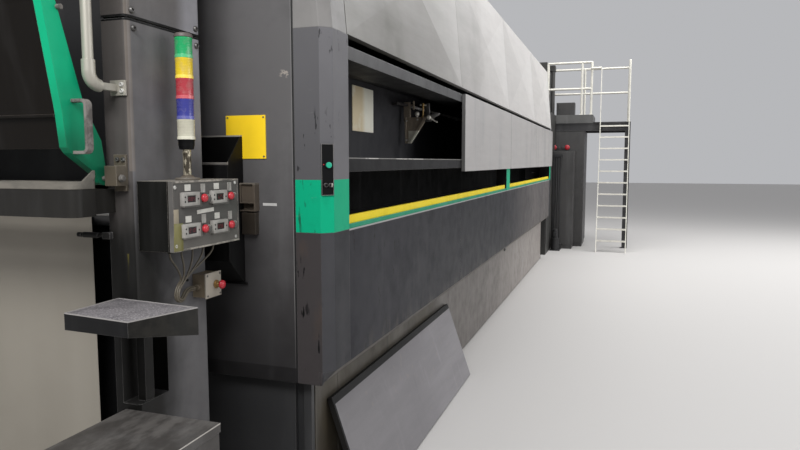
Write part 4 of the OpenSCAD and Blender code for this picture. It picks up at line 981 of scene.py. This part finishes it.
def buildControls():
    outward = (1, 0, 0)
    face = boxLow.x + controlFace["depth"]
    middleY = (boxLow.y + boxHigh.y) / 2
    middleZ = boxHigh.z - controlFace["rowsDown"]
    rows = [middleZ + controlFace["rowUp"], middleZ - controlFace["rowUp"]]
    meters = [(middleY + y, z) for z in rows for y in controlFace["meters"]]
    buttons = [(middleY + y, z) for z in rows for y in controlFace["buttons"]]

    def spread(places):
        return [Vector((0, *place)) - Vector((0, *places[0])) for place in places[1:]]

    def addPlates(name, finish, places=((endY, 0),)):
        (out, along, up), size, rim, dish, softness, tilt = lidPlates[name]
        y, z = places[0]
        plate = startBlock(name, (face + out, y + along, z + up), size, (math.radians(tilt), 0, 0))
        shapeFaces(plate, looking(outward), inset(rim), push(dish, 0, 0))
        if softness:
            rounded(plate, softness)
        own(repeated(plate, spread(places)), finish)

    y, z = meters[0]
    bezel = startBlock("meter_bezels", (face + controlFace["bezelOut"], y, z), controlFace["bezel"])
    shapeFaces(bezel, looking(outward), inset(controlFace["bezelRim"]),
               grow(1, 0.68, 1, (face, y, z)), push(controlFace["bezelDish"], 0, 0))
    rounded(bezel, 0.0011)
    own(repeated(bezel, spread(meters)), "bezel")
    addPlates("meter_windows", "glass", meters)
    buildDigits(face, meters)
    lowest = Vector((face, y, z)) + Vector(controlFace["keyAway"])
    key = turned("meter_keys", lowest, outward, controlFace["keys"], 14)
    repeated(key, [Vector(move) for move in controlFace["nextKeys"]])
    own(repeated(key, spread(meters)), "black")

    y, z = buttons[0]
    collar = turned("button_collars", (face, y, z), outward, controlFace["collar"])
    own(repeated(collar, spread(buttons)), "black")
    cap = turned("button_caps", (face, y, z), outward, controlFace["cap"])
    own(repeated(cap, spread(buttons)), "red")

    # Bare cards over each meter and button, and strips that were stuck on askew
    addPlates("meter_cards", "tag", meters)
    addPlates("button_cards", "bezel", buttons)
    addPlates("label_strip", "tag")
    addPlates("tape_upper", "tape")
    addPlates("tape_lower", "oldTape")
    corners = [at(face - 0.0014, y, z) for y, z in controlFace["screws"]]
    addScrews("lid_screws", corners, outward, 0.0065, 0.0035, "pale")


# Stack light: a flange, a worn pole, a base, five lenses and a cap
stackLight = {
    "lens": 0.069,
    "foot": 0.139,  # of the lowest lens, over the flange
    "lensProfile": [
        (0, 0.0288), (0.0005, 0.0302), (0.0100, 0.0304), (0.0112, 0.0290), (0.0610, 0.0290), (0.0625, 0.0297),
        (0.0680, 0.0297), (0.0690, 0.0285),
    ],
    # Height and radius of each step, then the number of sides and the finish
    "parts": {
        "light_flange": ([
            (0, 0.0405), (0.0045, 0.0418), (0.0075, 0.0405), (0.0095, 0.024), (0.014, 0.019), (0.017, 0.0155),
        ], 40, "latch"),
        "light_pole": ([
            (0.012, 0.0138), (0.0895, 0.0138), (0.0900, 0.0150), (0.0955, 0.0150), (0.0965, 0.0138),
            (0.108, 0.0138),
        ], 32, "pole"),
        "light_base": ([
            (0.105, 0.0215), (0.107, 0.0245), (0.118, 0.0262), (0.1185, 0.0272), (0.134, 0.0272),
            (0.1365, 0.0290), (0.1395, 0.0290),
        ], 40, "black"),
        "light_cap": ([
            (0.484, 0.0300), (0.4845, 0.0312), (0.4915, 0.0312), (0.4965, 0.0285), (0.4995, 0.0215),
            (0.5015, 0.0100),
        ], 40, "capGrey"),
    },
}


def lightFoot(i):
    return lightLow.z + stackLight["foot"] + i * stackLight["lens"]


def buildStackLight():
    middle = (lightLow + lightHigh) / 2
    foot = Vector((middle.x, middle.y, lightLow.z))
    parts = dict(stackLight["parts"])
    for i, finish in enumerate(lenses):
        low = stackLight["foot"] + i * stackLight["lens"]
        steps = [(low + height, radius) for height, radius in stackLight["lensProfile"]]
        parts["light_lens_%d" % (i + 1)] = (steps, 40, finish)
    for name, (steps, sides, finish) in parts.items():
        part = addTurned(name, foot, (0, 0, 1), steps, finish, sides)
        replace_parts(part, "stack_light")


# Cables from the box's glands, tied and looped into the junction box
cableRun = {
    "radius": 0.0035,
    "spread": 0.0064,
    "firstTurn": 126,  # of the strands round the bundle, in degrees
    "lengths": (0.354, 0.333, 0.332, 0.359, 0.415),
    "gland": (0.066, 0.067, 0.062),  # out from the column, first along the box, gap
    "knots": [  # from the junction box's near lower corner
        (0.054, -0.118, 0.092), (0.055, -0.141, 0.080), (0.055, -0.161, 0.055), (0.054, -0.158, 0.031),
        (0.052, -0.138, 0.020), (0.048, -0.116, 0.027), (0.043, -0.098, 0.042), (0.038, -0.076, 0.049),
        (0.031, -0.050, 0.047), (0.026, -0.026, 0.044),
    ],
    "tie": [(0, 0.0095), (0.0006, 0.0118), (0.0072, 0.0118), (0.0080, 0.0095)],
}


def buildCables():
    radius = cableRun["radius"]
    count = len(cableRun["lengths"])
    corner = Vector((columnFace, junctionLow.y + junctionSet["gland"], junctionLow.z))
    knots = [Vector(knot) for knot in cableRun["knots"]]
    out, first, gap = cableRun["gland"]
    for i in range(count):
        start = Vector((columnFace + out, boxLow.y + first + i * gap, boxLow.z))
        turn = math.radians(cableRun["firstTurn"] - 360 * i / count)
        side = []
        for k, knot in enumerate(knots):
            t = (knots[min(k + 1, len(knots) - 1)] - knots[max(k - 1, 0)]).normalized()
            b = t.cross(Vector((1, 0, 0))).normalized()
            away = b.cross(t) * math.cos(turn) + b * math.sin(turn)
            side.append(corner + knot + cableRun["spread"] * away)
        middle = (start + side[0]) / 2
        lean = middle + Vector((0.008, (start.y - middle.y) * 0.25, 0.004))
        upper = [start + Vector((0, 0, 0.004)), start, start - Vector((0, 0, 0.018)), lean]
        strand = tube("control_cable_%d" % (i + 1), upper + side, radius)
        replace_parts(own(strand, "cable"), "control_cables")
    tieFoot = corner + knots[0] + Vector((0, 0.006, -0.004))
    tie = addTurned("cable_tie", tieFoot, (0, 0.45, 1), cableRun["tie"], "black", 20)


# Hoses from the pump's manifold down to its outlet block
hoseRun = {
    "radius": 0.010,
    "first": (1.215, 9.545),
    "pitch": 0.042,
    "top": 1.616,
    "drop": 1.482,
    "back": 0.046,
    "sways": (0.026, 0.008, -0.010),
    "steps": 12,
    "lengths": (1.484, 1.483, 1.483),
}


def buildHoses():
    x, y = hoseRun["first"]
    for i, (sway, length) in enumerate(zip(hoseRun["sways"], hoseRun["lengths"])):
        route = []
        for k in range(hoseRun["steps"] + 1):
            t = k / hoseRun["steps"]
            swing = math.sin(math.pi * t) ** 2
            route.append(at(
                x + i * hoseRun["pitch"] + sway * swing * math.sin(1.5 * math.pi * t),
                y - hoseRun["back"] * (1 - math.cos(math.pi * t)) / 2 - sway * swing / 2,
                hoseRun["top"] - hoseRun["drop"] * t,
            ))
        hose = tube("pump_hose_%d" % (i + 1), route, hoseRun["radius"], 4)
        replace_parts(own(hose, "hose"), "pump_hoses")


# Lid, screws and mushroom button of the junction box
junctionSet = {
    "gland": 0.009,  # it stands out this far before the lid's near edge
    "lidOut": 0.060,
    "lidMiddle": (0.0475, 0.0465),
    "lidSize": (0.0062, 0.0958, 0.0938),
    "screwAway": (0.039, 0.038),
    "buttonAlong": 0.061,
    "stem": [
        (0.001, 0.0160), (0.0052, 0.0160), (0.0058, 0.0118), (0.0150, 0.0118), (0.0155, 0.0100),
        (0.0220, 0.0100),
    ],
    "cap": [
        (0.0212, 0.0125), (0.0232, 0.0152), (0.0262, 0.0168), (0.0310, 0.0164), (0.0348, 0.0146),
        (0.0382, 0.0100), (0.0396, 0.0040),
    ],
}


def buildJunctionBox():
    outward = (1, 0, 0)
    lid = columnFace + junctionSet["lidOut"]
    nearEdge = junctionLow.y + junctionSet["gland"]
    along, up = junctionSet["lidMiddle"]
    middle = Vector((lid, nearEdge + along, junctionLow.z + up))
    plate = startBlock("junction_lid", (lid - 0.0024, middle.y, middle.z), junctionSet["lidSize"])
    shapeFaces(plate, looking(outward), inset(0.004), push(0.0008, 0, 0))
    own(rounded(plate, 0.0012), "plate")
    wide, high = junctionSet["screwAway"]
    spots = [Vector((lid + 0.0012, middle.y + y, middle.z + z)) for y in (-wide, wide) for z in (-high, high)]
    addScrews("junction_screws", spots, outward, 0.0042, 0.0022)
    foot = Vector((lid, nearEdge + junctionSet["buttonAlong"], middle.z))
    addTurned("mushroom_stem", foot, outward, junctionSet["stem"], "brass")
    addTurned("mushroom_cap", foot, outward, junctionSet["cap"], "red")


# Control strip on the chamfer of the near corner post
controlStrip = {
    "foot": (1.230, 0.020, 1.420),
    "height": 0.200,
    "width": 0.050,
    "buttonUp": 0.59,  # shares of the strip's height
    "lampUp": 0.60,
    "lockUp": 0.2,
    "lampAcross": -0.0165,
    "locksAcross": (-0.009, 0.010),
    "collar": [(0.0072, 0.0142), (0.0112, 0.0142), (0.0122, 0.0126)],
    "button": [(0.0100, 0.0114), (0.0184, 0.0116), (0.0196, 0.0106), (0.0200, 0.0060)],
    "lamp": [(0.0066, 0.0026), (0.0080, 0.0026), (0.0086, 0.0016)],
    "lock": [(0.0070, 0.0084), (0.0100, 0.0084), (0.0106, 0.0074), (0.0176, 0.0073), (0.0180, 0.0052)],
    "key": [(0, 0.0068), (0.0004, 0.0084), (0.0018, 0.0084), (0.0022, 0.0068)],
}


def buildControlStrip():
    outward = Vector((1, -1, 0)).normalized()
    across = Vector((1, 1, 0)).normalized()
    foot = at(*controlStrip["foot"])
    width, height = controlStrip["width"], controlStrip["height"]

    def raised(share):
        return Vector((0, 0, height * share))

    middle = foot + outward * 0.0038 + Vector((0, 0, height / 2))
    size = (width + 0.001, 0.0078, height + 0.001)
    frameEdge = startBlock("strip_frame", middle, size, (0, 0, math.radians(45)))
    shapeFaces(frameEdge, looking(outward), inset(0.0019), push(*(outward * -0.0042)))
    own(rounded(frameEdge, 0.0005), "stripFrame")
    button = foot + across * 0.002 + raised(controlStrip["buttonUp"])
    addTurned("strip_collar", button, outward, controlStrip["collar"], "black")
    addTurned("strip_button", button, outward, controlStrip["button"], "greenButton")
    lamp = foot + across * controlStrip["lampAcross"] + raised(controlStrip["lampUp"])
    addTurned("strip_lamp", lamp, outward, controlStrip["lamp"], "red", 14)
    locks = []
    for x in controlStrip["locksAcross"]:
        place = foot + across * x + raised(controlStrip["lockUp"])
        lock = turned("strip_locks", place, outward, controlStrip["lock"], 20)
        shapeFaces(lock, looking(outward), inset(0.0016), push(*(outward * -0.0016)))
        locks.append(lock)
    own(joined(locks), "bolt")
    bow = place + outward * 0.0265 - across * 0.0011
    addTurned("strip_key", bow, across, controlStrip["key"], "silverTube", 20)


# Fasteners of the tower, guard and signs
fasteners = {
    "joint": [(-0.568, 2.033), (-0.562, 1.978), (-0.238, 2.036), (-0.235, 1.976)],
    "grabUp": (1.776, 1.796, 2.770, 2.790),
    "hingeAcross": (0.780, 0.802),
    "signUp": (1.572, 1.728),
    "rivetUp": (0.938, 0.856),
    "gusset": ((0.905, 1.832), (0.905, 1.700), (0.985, 1.840)),
}


def buildFasteners():
    nearer = (0, -1, 0)
    for name, side in (("joint_bolts_aisle", 1), ("joint_bolts_back", -1)):
        places = [at(side * columnFace, y, z) for y, z in fasteners["joint"]]
        addScrews(name, places, (side, 0, 0), 0.0105, 0.009, sides=20)
    flange = [at(side * 0.806, -0.6015, z) for side in (1, -1) for z in fasteners["grabUp"]]
    addScrews("grab_bolts", flange, nearer, 0.0078, 0.006, "pale")
    hinge = [at(side * x, -0.6035, 1.558) for side in (1, -1) for x in fasteners["hingeAcross"]]
    addScrews("hinge_bolts", hinge, nearer, 0.0085, 0.007, sides=6)
    corners = [at(x, -0.0036, z) for x in (0.799, 0.964) for z in fasteners["signUp"]]
    addScrews("sign_screws", corners, nearer, 0.0040, 0.0022)
    rivets = [at(1.205, 0.004, z) for z in fasteners["rivetUp"]]
    addScrews("panel_rivets", rivets, nearer, 0.0060, 0.0035, "brass")
    bracket = [at(x, 2.003, z) for x, z in fasteners["gusset"]]
    addScrews("gusset_screws", bracket, nearer, 0.0065, 0.004, "pale")


# Clamp on the gusset's outer end: spindle with its bar, wedge, wing knob and ball
clampSet = {
    "spindleAt": (1.022, 2.012),
    "top": 1.858,
    "ballAcross": 0.979,
    "ball": [
        (0, 0.0075), (0.006, 0.0070), (0.009, 0.0120), (0.015, 0.0165), (0.022, 0.0175), (0.029, 0.0160),
        (0.035, 0.0115), (0.038, 0.0050),
    ],
    "spindle": [
        (0, 0.0105), (0.010, 0.0105), (0.012, 0.0062), (0.070, 0.0062), (0.073, 0.0098), (0.092, 0.0098),
        (0.095, 0.0070),
    ],
    "bar": [(0, 0.0052), (0.003, 0.0066), (0.008, 0.0050), (0.038, 0.0048), (0.043, 0.0066), (0.046, 0.0050)],
    "jawSize": (0.050, 0.030, 0.046),
    "wing": [(0, 0.0120), (0.008, 0.0150), (0.016, 0.0150), (0.022, 0.0100)],
}


def buildClamp():
    x, y = clampSet["spindleAt"]
    top = clampSet["top"]
    ball, spindle, bar = clampSet["ball"], clampSet["spindle"], clampSet["bar"]
    ballFoot = at(clampSet["ballAcross"], y, top - 0.001)
    addTurned("clamp_ball", ballFoot, (0, 0, 1), ball, "silverTube")
    addTurned("clamp_spindle", at(x, y, top - 0.003), (0, 0, 1), spindle, "brass")
    barStart = at(x - 0.022, y, top + 0.083)
    addTurned("clamp_bar", barStart, (1, 0, -0.12), bar, "silverTube", 18)
    middle = y + 0.006
    jaw = startBlock("clamp_jaw", at(1.052, middle, top - 0.010), clampSet["jawSize"])
    shapeFaces(jaw, looking((1, 0, 0)),
               push(0.030, 0, 0.024), grow(1, 0.8, 0.7, at(1.107, middle, top + 0.012)),
               push(0.030, 0, 0.004), grow(1, 0.6, 0.5, at(1.137, middle, top + 0.016)))
    shapeFaces(jaw, lambda centre, normal: normal.z > 0.9 and centre.x < 1.078,
               inset(0.006), push(0, 0, 0.060), grow(0.8, 0.8, 1, at(1.052, middle, top + 0.073)),
               push(0, 0, 0.020))
    own(rounded(jaw, 0.003), "bolt")
    wing = turned("clamp_wing", at(1.070, y - 0.012, top - 0.006), (0, -1, 0), clampSet["wing"], 20)
    low = lambda centre, normal: normal.x > 0.5 and normal.z < 0 and abs(normal.y) < 0.3
    shapeFaces(wing, low, inset(0.001), push(0.026, 0, -0.016),
               grow(0.7, 0.7, 0.7, at(1.108, y - 0.022, top - 0.030)), push(0.022, 0, -0.012))
    own(rounded(wing, 0.0015), "silverTube")


# Rubber mat in the side shelf's dish, which is wider at the column
shelfDish = {
    "thick": 0.0034,
    "frontLeft": (0.0105, 0.0360),  # from the shelf's near corner away from the aisle
    "frontRight": (0.2600, 0.0065),
    "backRight": (0.3300, 0.2180),
    "backLeft": (0.0060, 0.2520),
}


def buildMat():
    low, high, thick = shelfLow, shelfHigh, shelfDish["thick"]
    middle = (low + high) / 2
    size = (high.x - low.x, high.y - low.y, thick)
    mat = startBlock("shelf_mat", (middle.x, middle.y, high.z - thick), size)
    starts = {
        "frontLeft": (low.x, low.y), "frontRight": (high.x, low.y),
        "backRight": (high.x, high.y), "backLeft": (low.x, high.y),
    }
    for corner, (startX, startY) in starts.items():
        right, deep = shelfDish[corner]
        shapePoints(mat, lambda place: abs(place.x - startX) < 0.001 and abs(place.y - startY) < 0.001,
                    shift(low.x + right - startX, low.y + deep - startY, 0))
    shapeFaces(mat, looking((0, 0, 1)), inset(0.006), push(0, 0, 0.0008))
    own(rounded(mat, 0.0010), "mat")


# Emergency stops on the tall cabinet
stopSet = {
    "places": ((1.140, 10.010, 1.815), (1.370, 10.010, 1.815)),
    "plate": [(0.0005, 0.0395), (0.0140, 0.0395), (0.0160, 0.0370), (0.0165, 0.0240), (0.0240, 0.0235)],
    "cap": [
        (0.0215, 0.0250), (0.0230, 0.0400), (0.0270, 0.0450), (0.0340, 0.0440), (0.0395, 0.0360),
        (0.0420, 0.0180),
    ],
}


def buildStops():
    for i, place in enumerate(stopSet["places"]):
        for part, finish in (("plate", "capGrey"), ("cap", "red")):
            name = "stop_%s_%d" % (part, i + 1)
            addTurned(name, at(*place), (0, -1, 0), stopSet[part], finish)


# A corner's foot closes the end of the sloped lip
cornerFoot = {
    "middle": (1.2225, 0.020, 0.6775),
    "size": (0.055, 0.040, 0.055),
    "outer": 1.250,
    # Which outer corners move, along and up, and how far they go inwards and along
    "moves": {(0, 0.705): (-0.040, 0), (0, 0.650): (-0.043, 0), (0.040, 0.650): (-0.053, 0)},
}


def buildCornerFeet():
    feet = []
    x, y, z = cornerFoot["middle"]
    for side in (1, -1):
        foot = startBlock("corner_foot", at(side * x, y, z), cornerFoot["size"])
        for (along, up), (inwards, deep) in cornerFoot["moves"].items():
            corner = at(side * cornerFoot["outer"], along, up)
            shapePoints(foot, lambda place: (place - corner).length < 0.001, shift(side * inwards, deep, 0))
        feet.append(rounded(foot, 0.0012))
        feet.append(turnedCopy(foot, "corner_foot", Matrix.Rotation(math.pi, 4, "Z")))
    feet = joined(feet)
    feet.name = "corner_feet"
    own(feet, "lowerCorner")


# Small catch on the seam of the lower panels
def buildCatch():
    low = startBlock("panel_catch", at(1.2285, 4.205, 0.672), (0.012, 0.050, 0.036))
    shapeFaces(low, looking((1, 0, 0)),
               inset(0.007), push(0.007, 0, 0), grow(1, 0.8, 0.7, at(1.2415, 4.205, 0.672)))
    own(rounded(low, 0.0015), "bolt")


finishOf = {
    "base_plinth": "dark", "base_panels": "base", "base_ends": "baseEnd", "bed_rails": "dark",
    "body_floor": "dark", "under_lips": "lip", "lower_panels": "lower", "lower_corners": "lowerCorner",
    "corner_posts": "post", "bay_posts": "bayPost", "sill_strips": "strip", "sill_bars": "yellow",
    "sill_decks": "dark", "shelf_beams": "shelfBeam", "header_beams": "header", "inner_walls": "inside",
    "gap_plate": "dark", "end_walls": "end", "canopy_ribs": "dark", "canopy_panels": "canopy",
    "canopy_corners": "corner", "roof_panels": "far", "cover_panels": "cover", "leaning_cover": "leaning",
    "clamp_rail": "rail", "clamp_bracket": "bracket", "sign_plates": "sign", "tool_bin": "bin",
    "latch_blocks": "latch", "post_controls": "black", "columns_lower": "column",
    "columns_upper": "column", "tower_back": "dark", "tower_top": "column", "grab_rails": "grab",
    "guard_arms": "green", "guard_hood": "hood", "guard_brackets": "beige", "drip_tray": "tray",
    "nip_roller": "steel", "web_roller_upper": "rubber", "web_roller_lower": "steel",
    "paper_web": "paper", "control_box": "box", "stack_light": "black", "junction_box": "junction",
    "control_cables": "cable", "side_shelf": "shelf", "step_box": "step", "far_unit": "far",
    "far_cabinets": "cabinet", "far_pump": "dark", "pump_hoses": "hose", "platform": "platform",
    "handrails": "silverTube", "ladder_sides": "silverTube", "ladder_treads": "silverTube",
}


def paintFrame():
    for name, finish in finishOf.items():
        shown = nodes[name]
        shown.data.materials.clear()
        shown.data.materials.append(finishes[finish])


# Pale floor and soft studio light
studio = {
    "floorSize": 90,
    "floorColour": (0.53, 0.515, 0.50),
    "worldColour": (0.86, 0.87, 0.9),
    "worldStrength": 0.55,
}


def areaLight(name, place, target, size, power):
    data = bpy.data.lights.new(name, "AREA")
    data.shape = "RECTANGLE"
    data.size, data.size_y = size
    data.energy = power
    lamp = bpy.data.objects.new(name, data)
    bpy.context.collection.objects.link(lamp)
    lamp.location = place
    lamp.rotation_euler = (Vector(target) - Vector(place)).to_track_quat("-Z", "Y").to_euler()


def addStudio():
    alone()
    bpy.ops.mesh.primitive_plane_add(size=studio["floorSize"], location=(0, 0, 0))
    floor = bpy.context.object
    floor.name = "floor"
    paint = Paint("paleFloor")
    paint.surface(paint.mix(paint.noise(0.6, 2) * 0.1, studio["floorColour"], (0.5, 0.48, 0.46)), 0.6)
    floor.data.materials.append(paint.material)
    world = bpy.data.worlds.new("studio")
    bpy.context.scene.world = world
    world.use_nodes = True
    background = world.node_tree.nodes["Background"]
    background.inputs["Color"].default_value = (*studio["worldColour"], 1)
    background.inputs["Strength"].default_value = studio["worldStrength"]
    areaLight("hallLights", (3.6, endY + 8.5, 6.8), (1.2, endY + 7.5, 0.6), (4, 13), 760)
    areaLight("frontLights", (1.9, endY - 4.4, 4.8), (0.3, endY, 2.6), (3, 2), 290)
    areaLight("windowSide", (9, endY + 2, 3.2), (1, endY + 6, 1.4), (6, 3), 160)
    areaLight("backSide", (-9, 3, 5), (0, 0, 1.3), (8, 4), 300)
    bpy.context.scene.view_settings.view_transform = "Standard"


addCamera()
finishes = makeFinishes()
paintFrame()
print("frame painted:", len(finishOf), "nodes")

buildControls()
buildStackLight()
buildCables()
buildHoses()
buildJunctionBox()
buildControlStrip()
print("controls built")

buildFasteners()
buildClamp()
buildMat()
buildStops()
buildCatch()
buildCornerFeet()
print("fittings built")

addStudio()
print("studio set")
